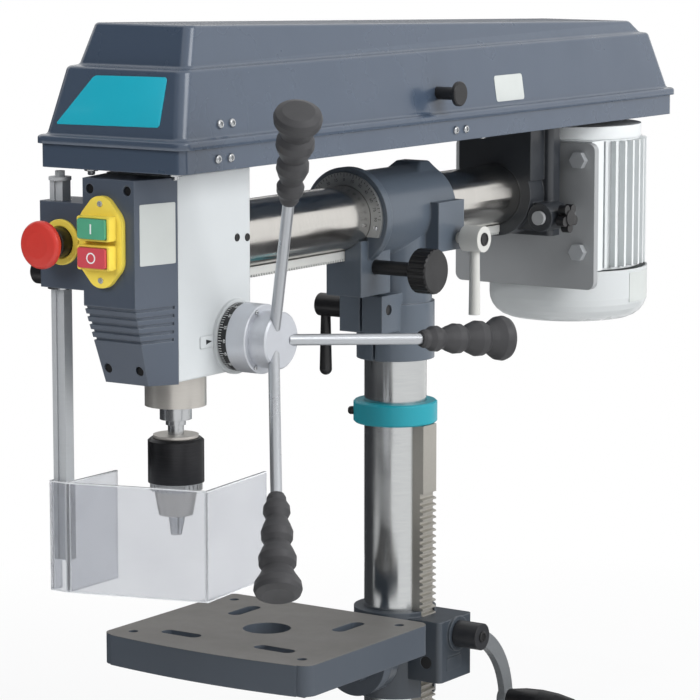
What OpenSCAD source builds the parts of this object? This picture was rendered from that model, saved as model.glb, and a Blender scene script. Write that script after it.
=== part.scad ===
// Radial arm drill: a column stand, a swivelling ram with a tilting drill head, and a lifting table.
// Origin: floor level on the column's axis. +Z is up and the drill head points to -Y.

/* [Stand] */
// Height of the ram's axis above the floor
arm_axis_h = 676; // [640:1:760]
// Diameter of the column
column_d = 60; // [56:1:64]
// Wall of the column tube
column_wall = 5; // [3:0.5:8]
// Width of the base casting
base_w = 240; // [220:5:320]
// Length of the base casting
base_l = 400; // [360:5:480]
// Height of the base casting
base_h = 32; // [26:1:45]
// Distance from the column's axis to the front edge of the base
base_front = 290; // [260:5:340]
// Wall of the hollow base casting
base_wall = 10; // [7:1:16]
// Diameter of the four floor bolt holes
base_bolt_d = 12; // [8:1:14]
// Diameter of the column flange
flange_d = 130; // [124:1:150]
// Height of the flange's plate
flange_h = 16; // [12:1:22]
// Height of the flange's neck above the base
flange_neck_h = 62; // [45:1:70]

/* [Lift] */
// Height of the bottom of the rack collar
collar_z = 471; // [440:1:500]
// Height of the rack collar
collar_h = 21; // [16:1:26]
// Outer diameter of the rack collar
collar_d = 81; // [81:1:90]
// Width of the lifting rack
lift_rack_w = 23; // [16:1:24]
// Module of the lifting rack and gear
lift_module = 2; // [2:0.5:2]
// Teeth on the lifting gear
lift_teeth = 14; // [12:1:16]
// Height of the lifting gear's axis
lift_axis_z = 244; // [236:1:252]
// Length of the crank between its shaft and its grip
crank_reach = 88; // [70:1:100]

/* [Table] */
// Width of the table
table_w = 230; // [200:2:250]
// Depth of the table
table_l = 198; // [180:2:220]
// Height of the table's top
table_top_z = 308.5; // [304:0.5:318]
// Distance from the column's axis to the table's back edge
table_back = 115; // [105:1:130]
// Height of the table's skirt
table_skirt_h = 28; // [22:1:32]
// Thickness of the table's plate
table_plate_h = 13; // [9:1:16]
// Diameter of the table's centre hole
table_hole_d = 44; // [30:1:50]
// Width of the table's slots
table_slot_w = 14; // [10:1:16]

/* [Arm] */
// Diameter of the ram
ram_d = 60; // [58:1:61]
// Wall of the ram tube
ram_wall = 5; // [3:0.5:8]
// Distance from the column's axis to the spindle
spindle_reach = 349; // [335:1:365]
// Front end of the support's ram sleeve, from the column's axis
sleeve_front = 85; // [82:1:95]
// Rear end of the support's ram sleeve
sleeve_rear = 43; // [40:1:50]
// Outer diameter of the ram sleeve
sleeve_d = 82; // [78:1:84]
// Outer diameter of the column sleeve
socket_d = 75; // [73:1:80]
// Depth of the column sleeve below the ram's axis
socket_drop = 142; // [132:1:150]
// Diameter of the knob that runs the ram in and out
extend_knob_d = 42; // [34:1:44]

/* [Head] */
// Width of the head casting
head_w = 76; // [74:1:84]
// Height of the head casting above the ram's axis
head_up = 64; // [60:1:66]
// Depth of the head casting below the ram's axis
head_down = 112; // [108:1:118]
// Length of the head casting in front of the spindle
head_fore = 45; // [40:1:50]
// Length of the head casting behind the spindle
head_aft = 65; // [60:1:70]
// Length of the front cover
cover_l = 46; // [42:1:52]
// Width of the front cover's face
cover_face_w = 55; // [51:1:60]
// Diameter of the quill
quill_d = 54; // [52:1:56]
// Travel of the quill
quill_travel = 75; // [60:1:80]
// Module of the quill's rack and pinion
feed_module = 1.5; // [1.5:0.5:1.5]
// Teeth on the feed pinion
feed_teeth = 16; // [16:1:18]
// Length of a feed spoke with its grip
spoke_l = 250; // [230:1:256]
// Diameter of a feed spoke
spoke_d = 10; // [8:1:12]

/* [Chuck] */
// Diameter of the chuck's sleeve
chuck_d = 49.4; // [46:0.2:52]
// Height of the chuck's sleeve
chuck_sleeve_h = 42; // [36:1:46]
// Diameter of a chuck jaw
jaw_d = 8; // [6:0.5:8]

/* [Guard] */
// Height of the clear chuck guard
shield_h = 97; // [80:1:104]
// Wall of the clear chuck guard
shield_t = 3; // [2:0.5:4]
// Width of the guard's hanger bar
bar_w = 14; // [11:0.5:14.5]
// Depth of the guard's hanger bar
bar_t = 11; // [9:0.5:11.5]

/* [Drive] */
// Width of the belt pan
pan_w = 153; // [145:1:165]
// Height of the belt pan's floor above the ram's axis
pan_up = 69.8; // [68:0.2:74]
// Height of the belt pan's wall
pan_h = 20; // [16:1:24]
// Front end of the belt pan, from the column's axis
pan_front = 438; // [432:1:446]
// Length of the belt pan behind the motor's axis
pan_tail = 81.7; // [78:0.1:92]
// Wall of the belt lid
lid_wall = 2.5; // [1.5:0.5:3.5]
// Largest radius of a step pulley
pulley_r = 56; // [53:1:57]
// Difference in radius between two steps
pulley_step = 7; // [6:0.5:8]
// Height of one pulley step
pulley_step_h = 15; // [14:0.5:15]
// Diameter of the motor over its fins
motor_d = 160; // [150:1:164]
// Number of fins on the motor
motor_fins = 40; // [24:2:48]
// Thickness of the motor plate
plate_t = 8; // [6:0.5:10]

/* [Hidden] */
$fn = 64;

// Clearances and overruns
fit = 0.1;
run = 0.3;
over = 1;
slice = 0.5;
tau = 360;

// Colours of the finishes
slate = "#4a515c";
dark_slate = "#3b414b";
pale_grey = "#dfe3e6";
steel = "#b9b7b2";
bright = "#d4d6d8";
black = "#26272a";
silver = "#c6c9cc";
teal = "#16929c";
yellow = "#e7d25a";
red = "#cf3a31";
green = "#5f9f83";
clear = [0.82, 0.85, 0.9, 0.45];

// Gear teeth as shares of the module and of the pitch
tip_share = 0.8;
root_share = 1.1;
tip_half_share = 0.11;
root_half_share = 0.31;

// Base and flange
column_r = column_d / 2;
base_corner_r = 24;
base_deck = 12;
base_mid_y = base_l / 2 - base_front;
base_bolt_inset = 26;
base_rib_t = 12;
base_slot_w = 14;
base_slot_l = 120;
base_slot_x = 52;
base_pad_h = 3;
base_pad_w = 176;
base_pad_l = 190;
base_pad_inset = 16;
flange_neck_wall = 14;
flange_neck_d = column_d + 2 * flange_neck_wall;
flange_fillet = 7;
flange_bolt_d = 12;
flange_bolt_inset = 10.5;
flange_bolt_r = flange_d / 2 - flange_bolt_inset;
flange_head_d = 19;
flange_head_h = 8;
flange_bolt_depth = 24;
column_top_gap = 44;
column_top_z = arm_axis_h - column_top_gap;
collar_chamfer = 1.5;
collar_screw_d = 7;
collar_screw_l = 14;
collar_screw_proud = 5;

// Lifting rack and gear
lift_pitch = PI * lift_module;
lift_r = lift_teeth * lift_module / 2;
lift_rack_t = 9.7;
lift_rack_tip_x = column_r + fit + lift_rack_t;
lift_rack_pitch_x = lift_rack_tip_x - tip_share * lift_module;
lift_axis_x = lift_rack_pitch_x + lift_r;
lift_rack_z0 = base_h + flange_neck_h + run;
lift_rack_z1 = collar_z - run;
lift_rack_plain = 66;
lift_gear_w = 22;
lift_pin_r = 6;
worm_r = 9.5;
worm_gap = 0.6;
worm_z = lift_axis_z + lift_r + tip_share * lift_module + worm_gap + worm_r;
worm_shaft_r = 6.5;

// Table bracket
bracket_wall = 10;
bracket_d = column_d + 2 * bracket_wall;
bracket_below = 39;
bracket_z0 = lift_axis_z - bracket_below;
bracket_above = 20;
bracket_z1 = worm_z + bracket_above;
gearbox_side = 16;
gearbox_x = lift_axis_x + gearbox_side;
gearbox_half = 29;
gearbox_y = 4;
gearbox_below = 19;
gearbox_z0 = lift_axis_z - gearbox_below;
gearbox_above = 15;
gearbox_z1 = worm_z + gearbox_above;
gearbox_r = 5;
gearbox_boss_r = 17;
gearbox_boss_h = 3;
tilt_up = 45;
tilt_z = bracket_z0 + tilt_up;
tilt_flange_r = 36;
tilt_flange_t = 12;
tilt_face_y = -60;
tilt_neck_r = 25;
tilt_bolt_r = 8;
tilt_head_r = 14;
tilt_head_h = 9;
tilt_pocket_l = 13;
bracket_ear_w = 36;
bracket_ear_l = 26;
bracket_ear_h = 46;
bracket_slit = 3;
bracket_bolt_r = 5;
bracket_bolt_out = 24;
bracket_bolt_y = column_r + bracket_bolt_out;
bracket_bolt_up = 38;
bracket_bolt_z = bracket_z0 + bracket_bolt_up;
lever_hub_r = 11;
lever_hub_l = 30;
lever_grip_r = 6;
lever_grip_l = 62;
lever_neck_r = 4.5;

// Crank
crank_hub_r = 13;
crank_hub_l = 26;
crank_arm_t = 7;
crank_end_r = 10;
crank_angle = 36;
crank_root_share = 0.75;
crank_bow_share = 0.15;
crank_steps = 12;
crank_arm_w = 15;
crank_pin_r = 4;
crank_grip_l = 70;
crank_grip_r = 13;
crank_grip_neck_r = 9;

// Table
table_corner_r = 12;
table_bow = 9;
table_wall = 10;
table_mid_y = -table_back - table_l / 2;
table_bolt_hole_d = 9;
table_hole_inset = 21;
table_slot_l = 42;
table_front_slot_x = 52;
table_front_slot_y = 38;
table_rear_slot_x = 59;
table_rear_slot_y = 53;
table_rib_t = 10;
stem_w = 46;
stem_r = 10;
stem_drop = 62;

// Ram, its rack and the support
ram_r = ram_d / 2;
ram_front_gap = 6;
ram_front_y = -spindle_reach + quill_d / 2 + ram_front_gap;
ram_rear_y = 226;
arm_module = 1.25;
arm_teeth = 12;
arm_pitch = PI * arm_module;
arm_pinion_r = arm_teeth * arm_module / 2;
arm_rack_w = 13;
arm_rack_t = 9.5;
arm_rack_seat = 0.5;
arm_rack_top = ram_r + arm_rack_seat;
arm_rack_tip = arm_rack_top + arm_rack_t;
arm_pinion_z = arm_rack_tip - tip_share * arm_module + arm_pinion_r;
arm_pinion_y = -72;
arm_rack_front_y = -spindle_reach + head_aft + run;
bracket_face_y = 180;
arm_rack_rear_y = bracket_face_y - run;
sleeve_r = sleeve_d / 2;
sleeve_flange_proud = 5.7;
sleeve_flange_r = sleeve_r + sleeve_flange_proud;
sleeve_flange_l = 9;
scale_t = 3;
scale_proud = 1;
scale_r = sleeve_r + scale_proud;
scale_drop = 17;
socket_r = socket_d / 2;
socket_step = 87;
socket_neck_step = 2.5;
socket_neck_r = socket_r - socket_neck_step;
pinion_box_w = 39;
pinion_box_right = 25;
pinion_box_l = 49;
pinion_box_bottom = 73;
bore_front = sleeve_front + pinion_box_l;
extend_shaft_r = 6.8;
extend_shaft_end = 66;
extend_knob_l = 20;
extend_knob_flutes = 24;
extend_flute_r = 1.6;
clamp_ear_w = 48;
clamp_ear_y = -60;
clamp_ear_top = 76;
clamp_ear_bottom = 112;
clamp_slit = 3;
swivel_bolt_y = -48;
swivel_bolt_z = 90;
swivel_bolt_r = 5;
lock_ear_x = 50;
lock_ear_y0 = -2;
lock_ear_y1 = 43;
lock_ear_up = 9;
lock_ear_down = 38;
lock_y = 33;
lock_z = 27;
lock_stud_r = 5;
lock_hub_r = 12.5;
lock_hub_l = 21;
lock_hub_gap = 8;
lock_handle_r = 4.6;
lock_handle_l = 73;
lock_tip_r = 5.6;
saddle_pad_w = 40;
saddle_pad_l = 34;
saddle_pad_h = 4;

// Head and cover
quill_r = quill_d / 2;
quill_up = 5;
quill_down = 141;
quill_roof = 2;
head_corner_r = 9;
head_boss_r = 34;
pulley_hub_r = 18;
pulley_hub_drop = 56;
feed_r = feed_teeth * feed_module / 2;
feed_pitch = PI * feed_module;
quill_rack_sink = 1.5;
quill_rack_tip = quill_r - quill_rack_sink;
feed_y = quill_rack_tip - tip_share * feed_module + feed_r;
feed_z = 82;
feed_shaft_r = 8;
feed_pinion_w = 12;
quill_slot_w = 14;
quill_slot_floor = 4;
feed_boss_r = 33;
feed_boss_h = 3;
depth_ring_r = 30;
depth_ring_l = 8.6;
hub_big_r = 30.5;
hub_big_l = 20;
hub_small_r = 25;
hub_small_l = 18;
hub_x0 = head_w / 2 + feed_boss_h + depth_ring_l + 2 * run;
hub_x1 = hub_x0 + hub_big_l;
hub_x2 = hub_x1 + hub_small_l;
spoke_lean = 22.8;
spoke_start = 14;
spoke_x = hub_x1 + hub_small_l / 2;
spoke_angles = [-25.5, 94.5, 214.5];
grip_l = 96;
grip_shares = [[0, 0.33], [0.03, 0.40], [0.07, 0.42], [0.12, 0.55], [0.18, 0.57], [0.24, 0.44],
    [0.30, 0.56], [0.37, 0.67], [0.44, 0.65], [0.49, 0.52], [0.55, 0.66], [0.62, 0.79], [0.69, 0.77],
    [0.74, 0.62], [0.80, 0.76], [0.87, 0.96], [0.93, 1], [0.97, 0.93], [1, 0.66]];
grip_r = 20.5;
spring_r = 31;
spring_l = 17;
spring_boss_r = 12;
spring_boss_l = 5;
cover_back_half = head_w / 2;
cover_step = 1;
cover_up = head_up - cover_step;
cover_drop = 2;
cover_down = head_down + cover_drop;
cover_slant = 45;
cover_tuck = 23;
cover_foot_half = 23;
cover_foot_share = 0.8;
cover_wall = 3;
cover_groove = 1.3;
cover_groove_h = 3;
cover_groove_gap = 10.5;
cover_groove_top = 46;
cover_grooves = 5;
cover_screw_r = 4.2;
cover_screw_x = 20;
cover_screw_top = 54;
cover_screw_foot_x = 17;
cover_screw_foot = 101;
cover_screw_depth = 12;
box_left = 76.5;
box_up = 41;
box_down = 33;
box_r = 4;
box_back = head_fore + over;
bar_x = -64.5;
bar_y = -75.5;
collar_fit_r = 9.8;

// Switch, buttons and emergency stop
cover_face_y = -head_fore - cover_l;
switch_x = -5;
switch_z = 10;
switch_half_w = 23;
switch_half_h = 39;
switch_shoulder = 21;
switch_crown = 7;
switch_t = 5;
bezel_w = 34;
bezel_h = 21;
bezel_l = 10;
bezel_wall = 2;
bezel_pitch = 24.5;
button_w = 29;
button_h = 17;
button_proud = 3;
button_l = 9;
estop_x = -50.5;
estop_z = 7;
estop_ring_r = 22.3;
estop_ring_t = 3;
estop_neck_r = 13;
estop_neck_l = 12;
estop_stem_r = 8;
estop_stem_l = 4;
estop_head_r = 20.5;
estop_head_l = 14;
estop_skirt_r = 15.5;
estop_gap = 5;
estop_pin_r = 5;
estop_shares = [0.36, 0.46, 0.3, 0.6, 0.55, 0.97];

// Quill, spindle and chuck
spindle_r = 10;
spline_r = 8;
spline_up = 150;
nose_r = 14;
nose_l = 12.5;
nut_r = 8.8;
nut_l = 5;
arbor_r = 7;
arbor_l = 8.5;
taper_r = 6.2;
taper_l = 18;
chuck_top = quill_down + nose_l + nut_l + arbor_l;
chuck_cap_r = 20;
chuck_cap_h = 2.5;
chuck_core_r = 18;
chuck_ring_h = 7;
chuck_ring_r = 23;
chuck_teeth = 30;
chuck_nose_h = 22;
chuck_nose_r = 15;
jaw_lean = 11;
jaw_tip = 40;
jaw_l = 44;
jaw_gap = 0.8;
jaw_travel = 12;
chuck_bottom = chuck_top + chuck_sleeve_h + chuck_ring_h + chuck_nose_h;
jaw_proud = 18;
jaw_tip_z = chuck_bottom + jaw_proud;

// Chuck guard
bar_up = 58;
bar_down = 272;
bar_cap_t = 3;
bar_bolt_r = 4.5;
bar_bolt_h = 5;
bar_groove = 4;
bar_groove_depth = 1.5;
shield_top = 203;
shield_channel_x = (bar_w + shield_t) / 2 + fit;
shield_front = (bar_t + shield_t) / 2 + fit;
shield_right_x = 68;
shield_right_y = -47;
shield_end_x = 56;
shield_end_y = 55;
shield_left_y = -14;
guard_knob_r = 11;
guard_knob_l = 15;
guard_knob_z = 22;
guard_screw_r = 4;
collar_lip = 2;
collar_lip_t = 2;

// Motor place: its cowl stands just behind the motor plate
plate_y = 238;
motor_r = motor_d / 2;
cowl_proud = 2;
cowl_r = motor_r + cowl_proud;
plate_w = 2 * cowl_r;
motor_y = plate_y + plate_t + cowl_r + run;
pan_rear = motor_y + pan_tail;

// Belt pan, lid and pulleys
pan_floor = 2.5;
pan_wall = 2.5;
pan_corner_r = 8;
pan_mid_y = (pan_rear - pan_front) / 2;
pan_len = pan_rear + pan_front;
rim_proud = 4;
rim_h = 6.7;
lid_z0 = pan_up + pan_h + run;
lid_z1 = lid_z0 + rim_h;
lid_tier_h = 85.5;
lid_tier_z = pan_up + lid_tier_h;
lid_front_h = 121.5;
lid_front_z = pan_up + lid_front_h;
lid_rear_h = 97.5;
lid_rear_z = pan_up + lid_rear_h;
lid_foot_inset = 2.5;
lid_ledge_inset = 11.5;
lid_ledge_front = 19;
lid_ledge_rear = 27;
lid_step_inset = 17;
lid_step_front = 30;
lid_step_rear = 37;
lid_crown_inset = 24;
lid_crown_front = 44;
lid_crown_rear = 47;
lid_corner_r = 9;
lid_crown_r = 8;
hinge_r = 3.5;
hinge_gap = rim_proud + hinge_r + slice;
hinge_pin_r = 1.5;
hinge_l = 24;
hinge_y = [-230, 190];
hinge_x = -pan_w / 2 - hinge_gap;
lid_knob_y = -37;
lid_knob_up = 46;
lid_knob_stem_r = 6;
lid_knob_r = 11.5;
lid_knob_flange = 5;
lid_knob_l = 24;
pulley_steps = 5;
pulley_gap = 3;
pulley_z0 = pan_up + pan_floor + pulley_gap;
groove_land = 2;
groove_depth = 7;
groove_floor = 7;
pulley_mid_r = pulley_r - 2 * pulley_step;
belt_z = pulley_z0 + 2.5 * pulley_step_h;
belt_in = groove_depth - run;
belt_out = 0.5;
belt_floor_h = 6;
belt_top_h = 9.6;
motor_shaft_r = 9;

// Motor and its bracket
bracket_boss_r = 42;
bracket_back_y = 228;
bracket_wall_y = 206;
bracket_half = 50;
bracket_r = 6;
plate_bolt_inset = 17;
plate_bolt_x = plate_w / 2 - plate_bolt_inset;
lug_step = 12;
lug_x = plate_bolt_x - lug_step;
lug_z = 21;
lug_r = 14;
lug_rear_y = 214;
slide_r = 7;
slide_front_y = 176;
plate_up = 50;
plate_down = 98;
plate_corner_r = 8;
plate_bolt_up = 33;
plate_bolt_down = 60;
plate_bolt_zs = [plate_bolt_up, -plate_bolt_down];
plate_bolt_r = 5;
plate_head_r = 9;
plate_head_h = 7;
motor_up = 51;
motor_seam = 84;
fin_depth = 8;
motor_core_r = motor_r - fin_depth;
fin_t = 3;
shield_cap_proud = 2;
shield_cap_r = motor_core_r + shield_cap_proud;
shield_cap_h = 12;
foot_share = 0.62;
foot_depth = 24;
cowl_down = 138;
cowl_round = 24;
cowl_wall = 2;
vent_rings = 4;
vent_gap = 11;
vent_w = 5;
vent_sweep = 100;
wing_screw_r = 4;
wing_x = 70;
wing_hub_r = 8;
wing_hub_l = 9;
wing_reach = 15;
wing_tip_r = 5;
wing_t = 8;
wing_count = 5;
motor_slot_r = 13;
motor_slot_l = 26;

module at_ram() translate([0, 0, arm_axis_h]) children();
module at_head() translate([0, -spindle_reach, arm_axis_h]) children();
module along_x() rotate([0, 90, 0]) children();
module along_y() rotate([-90, 0, 0]) children();

// Rounded rectangle with true arcs, centred
module rounded_rect(w, l, r) {
    square([w - 2 * r, l], center = true);
    square([w, l - 2 * r], center = true);
    for (x = [-1, 1], y = [-1, 1])
        translate([x * (w / 2 - r), y * (l / 2 - r)]) circle(r);
}

// Slot with round ends along X, centred
module slot_2d(l, w) {
    square([l - w, w], center = true);
    for (x = [-1, 1])
        translate([x * (l - w) / 2, 0]) circle(d = w);
}

// Outline of a spur gear whose first tooth points along +X
module gear_2d(teeth, mod) {
    step = tau / teeth;
    r = teeth * mod / 2;
    tip = r + tip_share * mod;
    root = r - root_share * mod;
    marks = [[root, -root_half_share], [tip, -tip_half_share], [tip, tip_half_share],
        [root, root_half_share]];
    polygon([for (i = [0 : teeth - 1], m = marks)
        m[0] * [cos(step * (i + m[1])), sin(step * (i + m[1]))]]);
}

// Rack along X: teeth up from the pitch line at y = 0, a gap centred on x = 0, then a plain end
module rack_2d(x0, x1, mod, back, plain) {
    pitch = PI * mod;
    root = -root_share * mod;
    tip = tip_share * mod;
    first = ceil((x0 / pitch) - 0.5 + root_half_share);
    last = floor((x1 / pitch) - 0.5 - root_half_share);
    marks = [[-root_half_share, root], [-tip_half_share, tip], [tip_half_share, tip],
        [root_half_share, root]];
    polygon(concat([[x0, root - back], [x0, root]],
        [for (i = [first : last], m = marks) [(i + 0.5 + m[0]) * pitch, m[1]]],
        plain > 0 ? [[x1, root], [x1, tip], [x1 + plain, tip]] : [[x1, root]],
        [[x1 + plain, root - back]]));
}

// Strip of one thickness between two points
module strip_2d(p, q, t) {
    d = q - p;
    translate(p) rotate(atan2(d[1], d[0])) translate([0, -t / 2]) square([norm(d), t]);
    for (e = [p, q])
        translate(e) circle(d = t, $fn = 24);
}

// Hexagon bolt along +Z with its head's underside at z = 0
module hex_bolt(head_r, head_h, shank_r, shank_l) {
    cylinder(r = head_r, h = head_h, $fn = 6);
    translate([0, 0, -shank_l]) cylinder(r = shank_r, h = shank_l + over);
}

// Clamping lever on a stud along +Z, with its handle along -X
module clamp_lever(stud_r, stud_l) {
    cylinder(r = lever_hub_r, h = lever_hub_l);
    translate([0, 0, -stud_l]) cylinder(r = stud_r, h = stud_l + over);
    translate([-lever_grip_l, 0, lever_hub_l - lever_grip_r]) along_x() {
        cylinder(r1 = lever_grip_r, r2 = lever_neck_r, h = lever_grip_l);
        sphere(lever_grip_r);
    }
}

module base() {
    color(slate) difference() {
        union() {
            difference() {
                translate([0, base_mid_y, 0]) linear_extrude(base_h)
                    rounded_rect(base_w, base_l, base_corner_r);
                translate([0, base_mid_y, -over]) linear_extrude(base_h - base_deck + over)
                    rounded_rect(base_w - 2 * base_wall, base_l - 2 * base_wall, base_corner_r - base_wall);
            }
            cylinder(d = flange_d, h = base_h);
            translate([-base_rib_t / 2, base_mid_y - base_l / 2 + base_wall, 0])
                cube([base_rib_t, base_l - 2 * base_wall, base_h - over]);
            for (x = [-1, 1], y = [-1, 1])
                base_corner(x, y) cylinder(r = base_bolt_inset - base_wall / 2, h = base_h - over);
            translate([0, base_pad_l / 2 - base_front + base_pad_inset, 0])
                linear_extrude(base_h + base_pad_h) difference() {
                    rounded_rect(base_pad_w, base_pad_l, base_corner_r / 2);
                    rounded_rect(base_pad_w - 2 * base_wall, base_pad_l - 2 * base_wall, base_corner_r / 4);
                }
            translate([0, base_pad_l / 2 - base_front + base_pad_inset, base_h - base_deck])
                linear_extrude(base_deck + base_pad_h)
                    rounded_rect(base_pad_w, base_pad_l, base_corner_r / 2);
        }
        for (x = [-1, 1], y = [-1, 1])
            base_corner(x, y) translate([0, 0, -over]) cylinder(d = base_bolt_d, h = base_h + 2 * over);
        for (x = [-1, 1])
            translate([x * base_slot_x, base_pad_l / 2 - base_front + base_pad_inset, -over]) rotate(90)
                linear_extrude(base_h + base_pad_h + 2 * over) slot_2d(base_slot_l, base_slot_w);
        flange_places() translate([0, 0, base_h - flange_bolt_depth])
            cylinder(r = flange_bolt_d / 2 + fit, h = base_h);
    }
}

module base_corner(x, y) {
    translate([x * (base_w / 2 - base_bolt_inset), base_mid_y + y * (base_l / 2 - base_bolt_inset), 0])
        children();
}

module flange_places() {
    for (a = [45 : 90 : 315])
        rotate(a) translate([flange_bolt_r, 0, 0]) children();
}

module column_flange() {
    neck_r = flange_neck_d / 2;
    bore = column_r + fit;
    color(slate) difference() {
        translate([0, 0, base_h]) rotate_extrude() polygon(concat(
            [[bore, 0], [flange_d / 2, 0], [flange_d / 2, flange_h]],
            [for (a = [270 : -15 : 180])
                [neck_r + flange_fillet, flange_h + flange_fillet] + flange_fillet * [cos(a), sin(a)]],
            [[neck_r, flange_neck_h - collar_chamfer], [neck_r - collar_chamfer, flange_neck_h],
                [bore, flange_neck_h]]));
        flange_places() translate([0, 0, base_h - over])
            cylinder(r = flange_bolt_d / 2 + fit, h = flange_h + 2 * over);
        flange_places() translate([0, 0, base_h + flange_h])
            cylinder(r = flange_head_d / 2 + over, h = flange_neck_h);
    }
}

module stand_screws() {
    color(steel) {
        flange_places() translate([0, 0, base_h + flange_h])
            hex_bolt(flange_head_d / 2, flange_head_h, flange_bolt_d / 2,
                flange_h + flange_bolt_depth - over);
        translate([-collar_d / 2 - collar_screw_proud, 0, collar_z + collar_h / 2]) along_x()
            cylinder(d = collar_screw_d, h = collar_screw_l);
    }
}

module column() {
    color(steel) translate([0, 0, base_h]) difference() {
        cylinder(r = column_r, h = column_top_z - base_h, $fn = 96);
        translate([0, 0, -over]) cylinder(r = column_r - column_wall, h = column_top_z - base_h + 2 * over);
    }
}

module rack_collar() {
    r = collar_d / 2;
    color(teal) difference() {
        translate([0, 0, collar_z]) rotate_extrude() polygon([[column_r + fit, 0], [r - collar_chamfer, 0],
            [r, collar_chamfer], [r, collar_h - collar_chamfer], [r - collar_chamfer, collar_h],
                [column_r + fit, collar_h]]);
        translate([-r - over, 0, collar_z + collar_h / 2]) along_x()
            cylinder(r = collar_screw_d / 2 + fit, h = r);
    }
}

module column_rack() {
    back = lift_rack_tip_x - column_r + over;
    color(steel) difference() {
        translate([lift_rack_pitch_x, -lift_rack_w / 2, lift_axis_z]) rotate([0, -90, -90])
            linear_extrude(lift_rack_w) rack_2d(lift_rack_z0 - lift_axis_z,
                lift_rack_z1 - lift_axis_z - lift_rack_plain, lift_module, back, lift_rack_plain);
        translate([0, 0, lift_rack_z0 - over])
            cylinder(r = column_r + fit, h = lift_rack_z1 - lift_rack_z0 + 2 * over, $fn = 96);
    }
}

module table_bracket() {
    color(slate) difference() {
        union() {
            translate([0, 0, bracket_z0]) cylinder(d = bracket_d, h = bracket_z1 - bracket_z0);
            translate([gearbox_x / 2, gearbox_y, gearbox_z0]) linear_extrude(gearbox_z1 - gearbox_z0)
                rounded_rect(gearbox_x, 2 * gearbox_half, gearbox_r);
            translate([gearbox_x, gearbox_y, worm_z]) along_x()
                cylinder(r = gearbox_boss_r, h = gearbox_boss_h);
            translate([0, tilt_face_y, tilt_z]) along_y() {
                cylinder(r = tilt_flange_r, h = tilt_flange_t);
                cylinder(r = tilt_neck_r, h = -tilt_face_y - column_r / 2);
            }
            translate([-bracket_ear_w / 2, column_r, bracket_bolt_z - bracket_ear_h / 2])
                cube([bracket_ear_w, bracket_ear_l + column_r / 4, bracket_ear_h]);
        }
        translate([0, 0, bracket_z0 - over])
            cylinder(r = column_r + fit, h = bracket_z1 - bracket_z0 + 2 * over, $fn = 96);
        translate([0, -lift_rack_w / 2 - run, bracket_z0 - over])
            cube([lift_rack_tip_x + run, lift_rack_w + 2 * run, bracket_z1 - bracket_z0 + 2 * over]);
        translate([lift_axis_x, -lift_gear_w / 2 - run, lift_axis_z]) along_y()
            cylinder(r = lift_r + lift_module + run, h = lift_gear_w + 2 * run);
        translate([lift_axis_x, gearbox_y - gearbox_half - over, lift_axis_z]) along_y()
            cylinder(r = lift_pin_r + fit, h = 2 * gearbox_half + 2 * over);
        translate([lift_rack_tip_x, gearbox_y, worm_z]) along_x()
            cylinder(r = worm_r + run, h = gearbox_x - lift_rack_tip_x - gearbox_r);
        translate([lift_rack_tip_x, gearbox_y, worm_z]) along_x()
            cylinder(r = worm_shaft_r + fit, h = gearbox_x);
        translate([-bracket_slit / 2, 0, bracket_z0 - over])
            cube([bracket_slit, 2 * bracket_bolt_y, bracket_z1 - bracket_z0 + 2 * over]);
        translate([-bracket_ear_w, bracket_bolt_y, bracket_bolt_z]) along_x()
            cylinder(r = bracket_bolt_r + fit, h = 2 * bracket_ear_w);
        translate([0, tilt_face_y - over, tilt_z]) along_y()
            cylinder(r = tilt_bolt_r + fit, h = -tilt_face_y - column_r + over);
    }
}

module bracket_lever() {
    color(black) translate([-bracket_ear_w / 2 - run, bracket_bolt_y, bracket_bolt_z]) rotate([0, -90, 0])
        clamp_lever(bracket_bolt_r, bracket_ear_w - over);
}

module lift_gear() {
    color(steel) translate([lift_axis_x, -lift_gear_w / 2, lift_axis_z]) rotate([-90, 0, 0]) {
        rotate(180) linear_extrude(lift_gear_w) gear_2d(lift_teeth, lift_module);
        translate([0, 0, gearbox_y - gearbox_half + lift_gear_w / 2])
            cylinder(r = lift_pin_r, h = 2 * gearbox_half);
    }
}

module worm_shaft() {
    color(steel) translate([lift_rack_tip_x + run, gearbox_y, worm_z]) along_x() {
        cylinder(r = worm_r, h = gearbox_x - lift_rack_tip_x - gearbox_r - 2 * run);
        cylinder(r = worm_shaft_r,
            h = gearbox_x - lift_rack_tip_x + gearbox_boss_h + crank_hub_l - 2 * over);
    }
}

// Crank plane: x runs from the shaft to the grip, y to the side that the arm bows to
module crank_plane() {
    translate([gearbox_x + gearbox_boss_h + run, gearbox_y, worm_z]) along_x() rotate(crank_angle)
        children();
}

// Bowed plan of the crank's arm, from inside the hub to the end boss
module crank_arm_2d() {
    bow = crank_reach * crank_bow_share;
    arc_r = (pow(crank_reach / 2, 2) + pow(bow, 2)) / (2 * bow);
    half = asin(crank_reach / 2 / arc_r);
    start = half * (1 - 2 * crank_hub_r * crank_root_share / crank_reach);
    angles = [for (i = [0 : crank_steps]) 90 + start - i * (start + half) / crank_steps];
    outer = [for (a = angles) (arc_r + crank_arm_w / 2) * [cos(a), sin(a)]];
    inner = [for (i = [crank_steps : -1 : 0]) (arc_r - crank_arm_w / 2) * [cos(angles[i]), sin(angles[i])]];
    translate([crank_reach / 2, bow - arc_r]) polygon(concat(outer, inner));
}

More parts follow.
